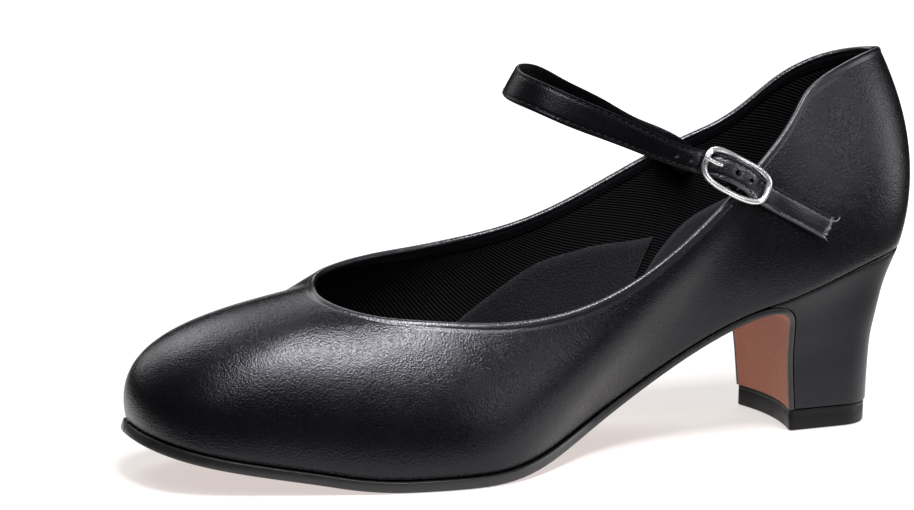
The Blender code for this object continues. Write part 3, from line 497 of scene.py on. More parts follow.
def middle_bar(buckle, count):
    share = np.linspace(-1, 1, count)
    rise = RAIL_RISE * smooth_step((np.abs(share) - BAR_STRAIGHT) / (1 - BAR_STRAIGHT))
    return np.array([buckle.at(0, out, across * BUCKLE_WIDTH / 2)
                     for out, across in zip(rise, share)])


def even(points, count):
    """A closed line's points, evenly spaced."""
    points = np.array(points)
    closed = np.vstack([points, points[:1]])
    length = lengths_along(closed)
    return read_at(np.linspace(0, length[-1], count, endpoint=False), length, closed)


# ---------------------------------------------------------------- materials


class Nodes:
    """Short names for building one material's nodes."""

    def __init__(self, name, color, roughness, **inputs):
        self.material = bpy.data.materials.new(name)
        self.material.use_nodes = True
        self.tree = self.material.node_tree
        self.shader = self.tree.nodes["Principled BSDF"]
        self.bump = None
        inputs.update(Base_Color=(*color, 1), Roughness=roughness)
        for key, value in inputs.items():
            self.shader.inputs[key.replace("_", " ")].default_value = value

    def plug(self, socket, value):
        """Link a node's output to the socket, or set the socket's own value."""
        if hasattr(value, "is_output"):
            self.tree.links.new(value, socket)
        else:
            socket.default_value = value

    def add(self, kind, settings=(), **sockets):
        node = self.tree.nodes.new(kind)
        for key, value in dict(settings).items():
            setattr(node, key, value)
        for key, value in sockets.items():
            self.plug(node.inputs[key.replace("_", " ")], value)
        return node

    def coords(self, which="Object"):
        return self.add("ShaderNodeTexCoord").outputs[which]

    def split(self, which="Object"):
        return self.add("ShaderNodeSeparateXYZ", Vector=self.coords(which)).outputs

    def noise(self, scale, detail=2.0, roughness=0.5):
        return self.add("ShaderNodeTexNoise", Vector=self.coords(), Scale=scale, Detail=detail,
                        Roughness=roughness).outputs["Fac"]

    def cells(self, scale):
        node = self.add("ShaderNodeTexVoronoi", Vector=self.coords(), Scale=scale)
        return node.outputs["Distance"]

    def math(self, operation, a, b=0.0):
        node = self.add("ShaderNodeMath", {"operation": operation})
        self.plug(node.inputs[0], a)
        self.plug(node.inputs[1], b)
        return node.outputs[0]

    def times(self, a, b):
        return self.math("MULTIPLY", a, b)

    def plus(self, a, b, share):
        """The sum of a and a share of b."""
        return self.math("ADD", a, self.times(b, share))

    def ramp(self, value, low, high, to_low=0.0, to_high=1.0):
        return self.add("ShaderNodeMapRange", {"clamp": True}, Value=value, From_Min=low,
                        From_Max=high, To_Min=to_low, To_Max=to_high).outputs["Result"]

    def mix(self, factor, a, b):
        node = self.add("ShaderNodeMix", {"data_type": "RGBA"}, Factor=factor)
        for socket, value in ((node.inputs[6], a), (node.inputs[7], b)):
            self.plug(socket, (*value, 1) if isinstance(value, tuple) else value)
        return node.outputs[2]

    def set(self, name, value):
        self.tree.links.new(value, self.shader.inputs[name])

    def relief(self, height, depth):
        """Bump of a given depth in metres; calls stack."""
        under = {} if self.bump is None else {"Normal": self.bump}
        self.bump = self.add("ShaderNodeBump", Height=height, Distance=depth, Strength=1.0,
                             **under).outputs["Normal"]
        self.set("Normal", self.bump)


def scaled(color, factor):
    return tuple(factor * c for c in color)


def leather(name, color, roughness, grain, coat=0.0, waviness=1.0, shine=0.35, painted_shade_and_highlight_span=None):
    """Smooth box leather: fine cells and pores, a slow unevenness, and a thin wax coat.

    The last argument is the span of the shoe's length over which the reflection rises towards the
    heel: the weak reflection before it paints shade, and the strong one after it a highlight.
    """
    n = Nodes(name, color, roughness, Coat_Weight=coat, Coat_Roughness=0.28,
              Specular_Tint=(0.93, 0.925, 1.0, 1), Specular_IOR_Level=shine)
    wrinkle, wave = n.noise(1500, 3.0, 0.6), n.noise(95, 2.0, 0.55)
    n.relief(wave, 0.22 * MM * waviness)
    n.relief(n.noise(330), 0.015 * MM * waviness)
    n.relief(n.plus(n.times(n.cells(1900), 0.9), wrinkle, 0.5), 0.08 * MM * grain)
    n.relief(n.noise(5200, 1.0), 0.014 * MM * grain)
    shift = n.plus(n.times(wrinkle, 0.10), wave, 0.10)
    n.set("Roughness", n.math("ADD", shift, roughness - 0.10))
    if painted_shade_and_highlight_span:
        # Painted shade and highlight: the reflection is weak along the strap's free loop and strong
        # towards the heel, by the buckle and over the tail
        n.set("Specular IOR Level", n.ramp(n.split()["Y"], *painted_shade_and_highlight_span, 0.10, 1.0))
    light = tuple(1.5 * c + 0.0006 for c in color)
    n.set("Base Color", n.mix(n.ramp(wrinkle, 0.35, 0.75), color, light))
    return n.material


def twill(name, color, thread, pitch, slant, depth):
    """Woven cloth on a piece's own coordinates in millimetres."""
    n = Nodes(name, color, 0.85, Specular_IOR_Level=0.05)
    cloth = n.split("UV")
    diagonal = n.plus(n.times(cloth["X"], 1 / pitch), cloth["Y"], slant / pitch)
    weave = n.times(n.math("SINE", n.times(diagonal, 2 * math.pi)), 0.6)
    fuzz = n.noise(2600)
    n.relief(n.plus(weave, fuzz, 0.6), depth)
    n.set("Base Color", n.mix(n.ramp(n.plus(weave, fuzz, 0.5), -0.3, 0.9), color, thread))
    return n.material


def knit(name, color, thread, scale, depth):
    """Brushed knit cloth: tight little stitches and a few stray light fibres."""
    n = Nodes(name, color, 0.95, Sheen_Weight=0.12, Sheen_Roughness=0.45, Specular_IOR_Level=0.25)
    fuzz = n.noise(scale * 1.7, 3.0, 0.7)
    fleck = n.ramp(n.noise(scale * 0.55, 1.0), 0.66, 0.74)
    n.relief(n.math("ADD", n.cells(scale), fuzz), depth)
    body = n.mix(n.ramp(fuzz, 0.35, 0.7), color, thread)
    n.set("Base Color", n.mix(n.times(fleck, 0.35), body, scaled(thread, 3.2)))
    return n.material


def tan_sole(name, color):
    """Tan sole leather with black edge ink that runs a little onto it."""
    n = Nodes(name, color, 0.66, Specular_IOR_Level=0.3)
    fibre, cloud = n.noise(900, 4.0, 0.65), n.noise(60, 3.0)
    base = n.mix(n.ramp(cloud, 0.3, 0.7), color, scaled(color, 1.22))
    base = n.mix(n.ramp(fibre, 0.3, 0.8), base, scaled(color, 1.4))
    edge = n.add("ShaderNodeAttribute", {"attribute_name": "rim"}).outputs["Fac"]
    ink = n.ramp(n.plus(edge, n.noise(420, 3.0, 0.7), 0.8), 0.62, 0.78)
    n.set("Base Color", n.mix(ink, (0.008, 0.008, 0.009), base))
    n.set("Roughness", n.ramp(ink, 0, 1, 0.36, 0.62))
    n.relief(fibre, 0.03 * MM)
    n.relief(cloud, 0.08 * MM)
    return n.material


def plain(name, color, reliefs, roughness, gloss=None, **inputs):
    """A plain surface: noises and their depths, and a noise that spreads its roughness."""
    n = Nodes(name, color, roughness[0], **inputs)
    for noise, depth in reliefs:
        n.relief(n.noise(*noise), depth)
    if gloss:
        n.set("Roughness", n.ramp(n.noise(*gloss), 0.3, 0.7, *roughness))
    return n.material


LEATHER = leather("upper_leather", (0.0018, 0.0018, 0.0027), 0.275, 1.0)
HEEL_LEATHER = leather("heel_leather", (0.0036, 0.0036, 0.0048), 0.38, 0.7, waviness=0.7)
# Painted shade and highlight: the strap's reflection is weak along its free loop and strong by the
# buckle and over the tail
STRAP_LEATHER = leather("strap_leather", (0.0020, 0.0020, 0.0028), 0.30, 0.8, waviness=0.8,
                        painted_shade_and_highlight_span=(-0.062, -0.046))
BINDING = leather("binding_leather", (0.0026, 0.0026, 0.0034), 0.30, 0.8, coat=0.1, waviness=0.5,
                  shine=0.5)
TWILL = twill("lining_twill", (0.0004, 0.0004, 0.0006), (0.013, 0.013, 0.015), 1.45, -1.35,
              0.14 * MM)
KNIT = knit("footbed_knit", (0.004, 0.004, 0.005), (0.014, 0.014, 0.017), 1500, 0.3 * MM)
SUEDE = knit("heel_sock_cloth", (0.011, 0.011, 0.0125), (0.022, 0.022, 0.025), 2600, 0.1 * MM)
TAN = tan_sole("sole_leather", (0.29, 0.116, 0.071))
INK = plain("sole_edge", (0.006, 0.006, 0.007),
            (((700, 3.0, 0.7), 0.04 * MM), ((180,), 0.12 * MM)), (0.28, 0.46), (700, 3.0, 0.7),
            Coat_Weight=0.25, Coat_Roughness=0.2)
METAL = plain("buckle_plate", (0.90, 0.90, 0.91), (((260,), 0.006 * MM),), (0.10, 0.18), (1800,),
              Metallic=0.78)
RUBBER = plain("top_piece_rubber", (0.003, 0.003, 0.004), (((1400, 3.0, 0.7), 0.03 * MM),),
               (0.36, 0.52), (240, 3.0), Specular_IOR_Level=0.2)
THREAD, RAW = (plain(name, color, (((4200, 1.0), 0.03 * MM),), (0.6,), Specular_IOR_Level=0.3)
               for name, color in (("black_thread", (0.002, 0.002, 0.0025)),
                                   ("cut_edge_fibre", (0.26, 0.26, 0.28))))
ELASTIC = twill("tab_elastic", (0.006, 0.006, 0.0065), (0.02, 0.02, 0.021), 0.6, 0.0, 0.1 * MM)


# ---------------------------------------------------------------- building blocks


def new_mesh(name, points, faces):
    mesh = bpy.data.meshes.new(name)
    mesh.from_pydata([tuple(map(float, p)) for p in points], [], faces)
    return mesh


def turn_out(mesh):
    body = bmesh.new()
    body.from_mesh(mesh)
    bmesh.ops.recalc_face_normals(body, faces=body.faces)
    body.to_mesh(mesh)
    body.free()


def place(name, data):
    made = bpy.data.objects.new(name, data)
    bpy.context.scene.collection.objects.link(made)
    return made


def shade(mesh, sharp):
    mesh.shade_smooth()
    mesh.set_sharp_from_angle(angle=math.radians(sharp))


def piece(name, points, faces, looks, slot, replaced=(), look_of=None, uv=None, rim=None, sharp=35):
    """A mesh that rides with the shoe, with its faces turned out."""
    mesh = new_mesh(name, points, faces)
    for look in looks:
        mesh.materials.append(look)
    if look_of is not None:
        mesh.polygons.foreach_set("material_index", np.asarray(look_of, np.int32))
    if uv is not None:
        layer = mesh.uv_layers.new(name="cloth")
        corners = np.empty(len(mesh.loops), np.int32)
        mesh.loops.foreach_get("vertex_index", corners)
        layer.data.foreach_set("uv", np.asarray(uv, np.float32)[corners].ravel())
    if rim is not None:
        values = mesh.attributes.new("rim", "FLOAT", "POINT")
        values.data.foreach_set("value", np.asarray(rim, np.float32))
    turn_out(mesh)
    made = place(name, mesh)
    shade(mesh, sharp)
    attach(made, "root")
    if replaced:
        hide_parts(*replaced)
    return made


def ring_faces(rows, columns, closed_rows=False, closed_columns=True):
    """Quads between rows of points that each hold the same number of columns."""
    faces = []
    for r in range(rows if closed_rows else rows - 1):
        here, after = r * columns, (r + 1) % rows * columns
        for c in range(columns if closed_columns else columns - 1):
            step = (c + 1) % columns
            faces.append((here + c, here + step, after + step, after + c))
    return faces


def sweep_faces(count, around, closed=False):
    """The faces around sections of equal length, with a cap on each end if it isn't closed."""
    faces = ring_faces(count, around, closed)
    if not closed:
        faces += [tuple(range(around)), tuple(range((count - 1) * around, count * around))]
    return faces


def swept(name, sections, look, slot, closed=False, **extra):
    """Closed sections joined in order."""
    sections = np.asarray(sections, float)
    faces = sweep_faces(*sections.shape[:2], closed)
    return piece(name, sections.reshape(-1, 3), faces, [look], slot, **extra)


def angles(sides):
    return np.linspace(0, 2 * math.pi, sides, endpoint=False)


def tube(points, radius, sides, end_share=1.0):
    """Rings of points around a line, the first and last ring at a share of the radius."""
    points = np.asarray(points, float)
    run = unit(np.gradient(points, axis=0))
    side = np.cross(run[0], (0.31, 0.17, 0.93))
    rings = []
    for k, (point, heading) in enumerate(zip(points, run)):
        side = unit(side - heading * (side @ heading))
        other = np.cross(heading, side)
        reach = radius * (end_share if k in (0, len(points) - 1) else 1.0)
        rings.append([point + reach * (math.cos(a) * side + math.sin(a) * other)
                      for a in angles(sides)])
    return rings


def build_threads(name, lines, radius, look, sides=6):
    """Short round threads, thinner at their ends, as one piece."""
    points, faces = [], []
    for line in lines:
        faces += [tuple(len(points) + i for i in face) for face in sweep_faces(len(line), sides)]
        points += [point for ring in tube(line, radius, sides, 0.55) for point in ring]
    piece(name, points, faces, [look], "strap", sharp=60)


def cut(target, points, faces):
    """Boolean difference with a throwaway body, applied."""
    mesh = new_mesh("tool", points, faces)
    turn_out(mesh)
    tool = place("tool", mesh)
    step = target.modifiers.new("cut", "BOOLEAN")
    step.operation, step.object, step.solver = "DIFFERENCE", tool, "EXACT"
    evaluated = target.evaluated_get(bpy.context.evaluated_depsgraph_get())
    made = bpy.data.meshes.new_from_object(evaluated)
    target.modifiers.clear()
    old, target.data = target.data, made
    bpy.data.meshes.remove(old)
    bpy.data.objects.remove(tool, do_unlink=True)
    shade(made, 35)


# ---------------------------------------------------------------- upper

LOOP_FINE = 24                 # points to each row of the upper's table
# Over the topline, from outside in: depth under the topline and distance out, in mm
ROLL_ROWS = (
    (3.4, 0.00), (2.9, -0.01), (2.55, -0.05), (2.3, -0.07), (2.1, -0.02), (1.85, 0.07),
    (1.5, 0.13), (1.1, 0.15), (0.7, 0.11), (0.35, 0.00), (0.10, -0.20), (-0.05, -0.55),
    (-0.10, -0.95), (-0.02, -1.35), (0.20, -1.70), (0.55, -1.92), (0.95, -1.98), (1.12, -1.90),
    (1.28, -1.90), (1.5, -2.02), (2.6, -2.08), (3.9, -2.08), (4.35, -2.04), (4.55, -1.90),
    (4.75, -1.86), (5.2, -1.90),
)
INSIDE_ROW = 21                # the binding's lower edge: cloth begins after this row
BODY_ROWS = 46
LINING_ROWS = 34
LINING_LOW = 0.035             # level of the lining's lowest row
LOWER_ROUND = 0.8 * MM
OUTSIDE, BOUND, LINED = 0, 1, 2  # looks, in the order of the upper's materials


def build_upper():
    """Leather outside, a rolled topline, its binding and the lining, as one shell."""
    top, top_normal, top_rise = (part[0] for part in surface_at(np.ones((1, 1)), LOOP_FINE))
    speed, top_rise = np.linalg.norm(top_rise, axis=1), unit(top_rise)
    edge, out = feather(LOOP_FINE)
    roll = np.array(ROLL_ROWS) * MM
    rows, kinds = [], []

    def at_depth(depth):
        return 1 - depth / speed

    def floor_rows(*insets_and_lifts, kind):
        for inset, lift in insets_and_lifts:
            moved = edge - out * inset
            rows.append(np.column_stack([moved, underside(moved[:, 1]) + lift]))
            kinds.append(kind)

    floor_rows((TURN_IN, 0.0), (LOWER_ROUND, 0.0), (0.4 * LOWER_ROUND, 0.1 * LOWER_ROUND),
               (0.1 * LOWER_ROUND, 0.45 * LOWER_ROUND), kind=OUTSIDE)
    foot_speed = np.linalg.norm(surface_at(np.zeros((1, 1)), LOOP_FINE)[2][0], axis=1)
    start = LOWER_ROUND / foot_speed
    share = np.linspace(0, 1, BODY_ROWS)[:, None]
    share = 0.5 * share + 0.5 * share**0.8
    rows.extend(surface_at(start + (at_depth(roll[0, 0]) - start) * share, LOOP_FINE)[0][:-1])
    kinds.extend([OUTSIDE] * (BODY_ROWS - 1))
    for number, (depth, outward) in enumerate(roll):
        if depth > 0:
            point, normal, _ = surface_at(at_depth(depth)[None], LOOP_FINE)
            rows.append(point[0] + outward * normal[0])
        else:
            rows.append(top - depth * top_rise + outward * top_normal)
        kinds.append(BOUND if number <= INSIDE_ROW else LINED)
    share = np.linspace(1, 0, LINING_ROWS)[1:, None]
    body, normal, _ = surface_at(LINING_LOW + (at_depth(roll[-1, 0]) - LINING_LOW) * share,
                                 LOOP_FINE)
    rows.extend(body - UPPER_WALL * 0.97 * normal)
    kinds.extend([LINED] * (LINING_ROWS - 1))
    floor_rows((UPPER_WALL + 0.5 * MM, UPPER_WALL + 0.2 * MM), (TURN_IN, UPPER_WALL), kind=LINED)
    rows = np.array(rows)
    count, loops, _ = rows.shape
    look_of = np.repeat([OUTSIDE if OUTSIDE in pair else max(pair)
                         for pair in zip(kinds, kinds[1:] + kinds[:1])], loops)
    length = np.linalg.norm(np.roll(rows, -1, 1) - rows, axis=2).mean(0)
    rise = np.linalg.norm(np.diff(rows, axis=0), axis=2).mean(1)
    along = np.concatenate([[0], np.cumsum(length)[:-1]]) / MM
    up = np.concatenate([[0], np.cumsum(rise)]) / MM
    uv = np.stack(np.broadcast_arrays(along[None, :], up[:, None]), -1).reshape(-1, 2)
    piece("upper_leather_and_lining", rows.reshape(-1, 3), ring_faces(count, loops, True),
          [LEATHER, BINDING, TWILL], "upper", ["upper"], look_of, uv, sharp=60)


# Patches inside: the place in the upper's table and the level of the patch's upper edge
ARCH_PAD_ROWS = ((10.95, 0.05), (11.2, 0.22), (11.45, 0.44), (11.6, 0.54), (11.75, 0.61),
                 (11.9, 0.65), (12.05, 0.64), (12.2, 0.60), (12.35, 0.55), (12.5, 0.48),
                 (12.62, 0.43), (12.74, 0.39))
HEEL_PAD_ROWS = ((12.58, 0.10), (12.72, 0.22), (12.85, 0.31), (13.0, 0.38), (13.25, 0.42),
                 (13.6, 0.42), (14.2, 0.40), (15.0, 0.37), (16.0, 0.36), (17.0, 0.37),
                 (18.0, 0.40), (18.7, 0.42), (19.1, 0.38), (19.35, 0.28), (19.55, 0.12))
PAD_LOW = 0.02                 # level of a patch's lower edge
PAD_SINK = 0.05 * MM
PAD_COLUMNS, PAD_LEVELS = 150, 26
PAD_END_ROUND, PAD_TOP_ROUND = 40, 9  # the higher, the shorter the slope of its edge
WALL_LEVELS = 81


class Wall:
    """The upper's surface as a dense grid, read at places in its table."""

    def __init__(self):
        self.points, self.normals, _ = surface_at(np.linspace(0, 1, WALL_LEVELS)[:, None],
                                                  LOOP_FINE)

    def inside(self, place_in_table, level, depth):
        """Points at a depth from the outside."""
        x = np.asarray(place_in_table) * LOOP_FINE
        y = np.clip(np.asarray(level), 0, 1) * (WALL_LEVELS - 1)
        x0, y0 = np.floor(x).astype(int), np.minimum(np.floor(y).astype(int), WALL_LEVELS - 2)
        fx, fy = (x - x0)[..., None], (y - y0)[..., None]
        loops = self.points.shape[1]

        def read(table):
            low, high = (table[row, x0 % loops] * (1 - fx) + table[row, (x0 + 1) % loops] * fx
                         for row in (y0, y0 + 1))
            return low * (1 - fy) + high * fy

        return read(self.points) - np.asarray(depth)[..., None] * unit(read(self.normals))


def build_wall_pad(name, wall, table, thickness, look, lean=0.0):
    """A padded cloth patch on the inside of the wall, with soft rounded edges."""
    knots, tops = np.array(table).T
    places = np.linspace(knots[0], knots[-1], PAD_COLUMNS)
    top = open_spline(knots, tops, places)[:, 0]
    share = np.linspace(0, 1, PAD_LEVELS)[:, None]
    level = PAD_LOW + (top - PAD_LOW) * share
    span = (places - places[0]) / (places[-1] - places[0])
    where = places + (1 - share) * lean * span**2
    border = np.minimum(np.minimum(span, 1 - span) * PAD_END_ROUND,
                        (1 - share) * PAD_TOP_ROUND + 0 * span)
    puff = np.sqrt(np.clip(1 - (1 - np.clip(border, 0, 1))**2, 0, 1))
    back = wall.inside(where, level, np.full(level.shape, UPPER_WALL - PAD_SINK))
    face = wall.inside(where, level, UPPER_WALL + thickness * puff - 0.1 * PAD_SINK)
    cells = np.arange(PAD_LEVELS * PAD_COLUMNS).reshape(PAD_LEVELS, PAD_COLUMNS)
    faces = ring_faces(PAD_LEVELS, PAD_COLUMNS, closed_columns=False)
    faces += [tuple(cells.size + i for i in f) for f in faces]
    rim = [*cells[0], *cells[1:, -1], *cells[-1, -2::-1], *cells[-2:0:-1, 0]]
    faces += [(a, b, cells.size + b, cells.size + a) for a, b in zip(rim, rim[1:] + rim[:1])]
    piece(name, np.concatenate([back.reshape(-1, 3), face.reshape(-1, 3)]), faces, [look],
          "insole", sharp=80)


# ---------------------------------------------------------------- soles and heel


def rimmed_plate(name, node, left, right, down, thickness, rim_rows, columns, looks, sharp=40,
                 crown=None, hollow=None):
    """A plate between two edges, its rim following rows of inset in mm and share of its depth.

    The last of its looks is that of its lower side. crown lifts its upper side, and hollow moves
    both towards the heel, by a distance for each station and each share of the way across.
    """
    def both(rows):
        return np.concatenate([rows, rows[::-1]])

    stations = len(left)
    loop, normal = np.concatenate([left, right[::-1]]), both(down)
    out = unit(np.cross(np.gradient(loop, axis=0), normal))
    if ((loop - both((left + right) / 2)) * out).sum() < 0:
        out = -out
    rings = [loop - inset * MM * out + normal * both(thickness)[:, None] * share
             for inset, share in rim_rows]
    width, last = len(loop), len(rings) - 1
    points = [point for ring in rings for point in ring]
    rim = [0.0] * len(points)
    faces = ring_faces(len(rings), width, closed_columns=False)
    look_of = [0] * len(faces)
    share = np.linspace(0, 1, columns + 2)[1:-1]
    grids = []
    for ring, look in ((0, 0), (last, len(looks) - 1)):
        a, b = rings[ring][:stations], rings[ring][::-1][:stations]
        grid = np.empty((stations, columns + 2), int)
        grid[:, 0] = ring * width + np.arange(stations)
        grid[:, -1] = ring * width + width - 1 - np.arange(stations)
        grid[:, 1:-1] = len(points) + np.arange(stations * columns).reshape(stations, columns)
        at = a[:, None] + (b - a)[:, None] * share[:, None]
        if hollow:
            at[..., 1] += hollow(share)
        if crown and ring == 0:
            at[..., 2] += crown(share)
        points.extend(at.reshape(-1, 3))
        across = np.linalg.norm(b - a, axis=1)[:, None]
        rim.extend((np.minimum(share, 1 - share) * across / MM).ravel())
        cells = ring_faces(stations, columns + 2, closed_columns=False)
        faces += [tuple(grid.ravel()[list(cell)]) for cell in cells]
        look_of += [look] * len(cells)
        grids.append(grid)
    edge = [r * width for r in range(1, last)]
    faces.append((*grids[0][0], *(r + width - 1 for r in edge), *grids[1][0][::-1], *edge[::-1]))
    # At the toe the two sides meet, so the rim runs straight across
    toe = [r * width + stations - 1 for r in range(len(rings))]
    faces += [(a, a + 1, b + 1, b) for a, b in zip(toe, toe[1:])]
    faces += [tuple(grid[-1]) for grid in grids]
    look_of += [0] * (len(faces) - len(look_of))
    piece(name, points, faces, looks, node, [node], look_of, rim=rim, sharp=sharp)


def fine_flap_path(count):
    path, blend = flap_path()
    knots = np.arange(len(path), dtype=float)
    at = np.linspace(0, len(path) - 1, count)
    return open_spline(knots, path, at), np.interp(at, knots, blend)


SOLE_RIM = ((0.9, 0.0), (0.25, 0.0), (0.06, 0.05), (0.0, 0.16), (0.0, 0.5), (0.02, 0.84),
            (0.12, 0.95), (0.35, 1.0), (0.9, 1.0))
FOOTBED_RIM = ((0.9, 0.0), (0.35, 0.06), (0.05, 0.25), (0.0, 0.5), (0.0, 0.9), (0.5, 1.0))
# Shares of the length, counted towards the heel: where a change starts and how far it runs
SHANK_THINS = (0.60, 0.28)
CUP_DEEPENS = (0.5, 0.3)


def towards_heel(y, start, run):
    return smooth_step((start - along_of(y)) / run)


def build_outsole():
    margin_knots, margin_shares = zip(*MARGIN_ROWS)
    sides = [half_outline(lambda along: SOLE_MARGIN * np.interp(along, margin_knots, margin_shares),
                          side) for side in (-1, 1)]
    toe = max(y[0] for y, _ in sides) + 0.01 * MM
    path, blend = fine_flap_path(40)
    y = eased(toe, path[0, 0], 90, True, False)[:-1]
    line = np.vstack([np.column_stack([y, underside(y) - GAP]), path])[::-1]
    blend = np.concatenate([np.zeros(len(y)), blend])[::-1]
    shank = towards_heel(line[:, 0], *SHANK_THINS)
    thickness = SOLE_THICKNESS + (SHANK_THICKNESS - SOLE_THICKNESS) * shank
    thickness = thickness + (FLAP_THICKNESS - thickness) * blend
    left, right = (
        np.column_stack([np.where(blend > 0, on_heel, np.interp(line[:, 0], edge_y, edge_x)),
                         line[:, 0] + blend * -BREAST_SKEW / 2 * side, line[:, 1]])
        for side, on_heel, (edge_y, edge_x) in zip((-1, 1), heel_sides(line), sides))
    normal = -path_normals(line)
    down = np.column_stack([0 * normal[:, 0], normal])
    rimmed_plate("outsole_leather", "outsole", left, right, down, thickness, SOLE_RIM, 22,
                 [INK, TAN],
                 hollow=lambda share: blend[:, None] * BREAST_HOLLOW * 4 * share * (1 - share))


def build_footbed():
    inset = UPPER_WALL + INSOLE_FIT
    sides = [half_outline(lambda along: -inset + 0 * along, side) for side in (-1, 1)]
    front = max(y[0] for y, _ in sides) + 0.02 * MM
    back = min(y[-1] for y, _ in sides) - 0.02 * MM
    y = eased(back, front, 110, True, True)
    cup = INSOLE_CUP * towards_heel(y, *CUP_DEEPENS)
    upper_side = underside(y) + UPPER_WALL + GAP + INSOLE_THICKNESS + cup
    left, right = (np.column_stack([np.interp(y, *side), y, upper_side]) for side in sides)
    down = np.column_stack([0 * y, 0 * y, -np.ones(len(y))])
    rimmed_plate("footbed", "insole", left, right, down, INSOLE_THICKNESS + cup, FOOTBED_RIM, 16,
                 [KNIT], sharp=60, crown=lambda share: -cup[:, None] * (1 - (2 * share - 1)**4))


# The heel's cover from its lower end: share of its height, and how far its edge turns in, in mm
HEEL_ROWS = ((0.0, 0.35), (0.006, 0.06), *((share, 0.0) for share in np.linspace(0.02, 0.975, 34)),
             (0.988, 0.10), (0.996, 0.28), (1.0, 0.5))
HEEL_COLUMNS = 56
HEEL_END = 0.9985              # share of its length where the back's two sides are joined


def build_heel():
    """The covered block, cut to the flap in front, with its edges turned."""
    seat_y, _ = seat_outline(1)
    front = heel_front()
    share = eased(0, HEEL_END, HEEL_COLUMNS, False, True)
    sections = []
    for height, inset in HEEL_ROWS:
        inset = inset * MM
        back = TIP_BACK + (seat_y[-1] - TIP_BACK) * flare([height])[0] - inset
        y = front + share * (back - front)
        z = HEEL_BOTTOM + height * (underside(y) - GAP - HEEL_BOTTOM)
        outer, inner = (np.column_stack([heel_side(y, z, side) - side * inset, y, z])
                        for side in (1, -1))
        sections.append(np.concatenate([outer, inner[::-1]]))
    block = swept("heel_cover", sections, HEEL_LEATHER, "heel", replaced=["heel"])
    path, blend = fine_flap_path(36)
    keep = path[:, 0] > breast_y(1) - LIP_REACH
    path, blend = path[keep], blend[keep]
    columns = np.concatenate([[-1.4], np.linspace(-1, 1, 13), [1.4]])
    grid = flap_grid(path, blend, heel_sides(path), columns)
    grid[..., 1:] -= (path_normals(path) * GAP)[:, None]
    grid[:, 0, 0], grid[:, -1, 0] = -FEATHER_BREADTH, FEATHER_BREADTH
    away = np.array([0, 0, SEAT_RISE])
    grid = np.concatenate([grid[:1] + away, grid, grid[-1:] - away])
    cells = np.arange(grid[..., 0].size).reshape(grid.shape[:2])
    count = cells.size
    far = [(x, -FEATHER_LENGTH, z) for z in (grid[0, 0, 2], grid[-1, 0, 2])
           for x in (-FEATHER_BREADTH, FEATHER_BREADTH)]
    faces = ring_faces(*cells.shape, closed_columns=False)
    faces += [(*cells[0], count + 1, count), (*cells[-1], count + 3, count + 2),
              (*cells[:, 0], count + 2, count), (*cells[:, -1], count + 3, count + 1),
              (count, count + 1, count + 3, count + 2)]
    cut(block, np.concatenate([grid.reshape(-1, 3), far]), faces)


# The top piece, from the floor up: height and inset, in mm
TOP_PIECE_ROWS = ((0.0, 0.45), (0.10, 0.16), (0.35, 0.0), (5.2, 0.0), (5.3, 0.07), (5.42, 0.07),
                  (5.52, 0.0), (6.2, 0.0), (6.42, 0.10), (6.5, 0.3))


def build_top_piece():
    """The wearing piece: flush with the flap in front, its edges just broken."""
    front, back = -TIP_FRONT, TIP_BACK - LIFT_INSET
    half_front = TIP_WIDTH / 2 - LIFT_INSET
    y = eased(front + CORNER_ROUND, back, 48, False, True)
    x = tip_half_width(y * TIP_BACK / back) - LIFT_INSET
    corner = np.linspace(0, math.pi / 2, 7)[:-1]
    side = np.column_stack([
        np.concatenate([half_front - CORNER_ROUND * (1 - np.sin(corner)), x[:-1]]),
        np.concatenate([front + CORNER_ROUND * (1 - np.cos(corner)), y[:-1]])])
    front_x = np.linspace(-1, 1, 25)[1:-1] * (half_front - CORNER_ROUND)
    outline = np.vstack([np.column_stack([front_x, np.full(len(front_x), front)]), side,
                         [[0, back]], side[::-1] * (-1, 1)])
    hollow = np.clip(outline[:, 1] / front, 0, 1)
    share = outline[:, 0] / half_front
    outline[:, 1] += hollow * (BREAST_HOLLOW * (1 - share**2) - BREAST_SKEW / 2 * share)
    run = np.roll(outline, -1, 0) - np.roll(outline, 1, 0)
    out = unit(np.column_stack([run[:, 1], -run[:, 0]]))
    sections = [np.column_stack([outline - out * inset * MM, np.full(len(outline), z * MM)])
                for z, inset in TOP_PIECE_ROWS]
    swept("top_piece", sections, RUBBER, "top_lift", replaced=["top_lift"])


# ---------------------------------------------------------------- strap and buckle

STRAP_STEP = 0.7 * MM
SEWN_KNOTS = 3                 # points of the strap's line before its free loop
# Half of the strap's section: from the middle of its outer face to the middle of its inner one,
# as distance in from the edge and height as a share of half the thickness
STRAP_SECTION = ((3.2, 1.00), (2.2, 0.97), (1.55, 0.94), (1.3, 0.84), (1.05, 0.80), (0.8, 0.86),
                 (0.5, 0.90), (0.2, 0.72), (0.04, 0.42), (0.02, 0.16), (0.16, 0.0),
                 (0.02, -0.16), (0.04, -0.45), (0.2, -0.78), (0.6, -0.95), (1.6, -1.0),
                 (3.0, -1.0))
STRAP_HALF = STRAP_THICKNESS / 2
HOLE_SIDES = 24
STITCH_INSET = 1.05 * MM
STITCH_PITCH = 2.3 * MM
STITCH_LENGTH = 1.5 * MM
STITCH_RADIUS = 0.17 * MM
STITCH_ENDS = (1.5 * MM, 1.6 * MM)  # left unsewn past the sewn end and before the free end
END_FIBRES = 95


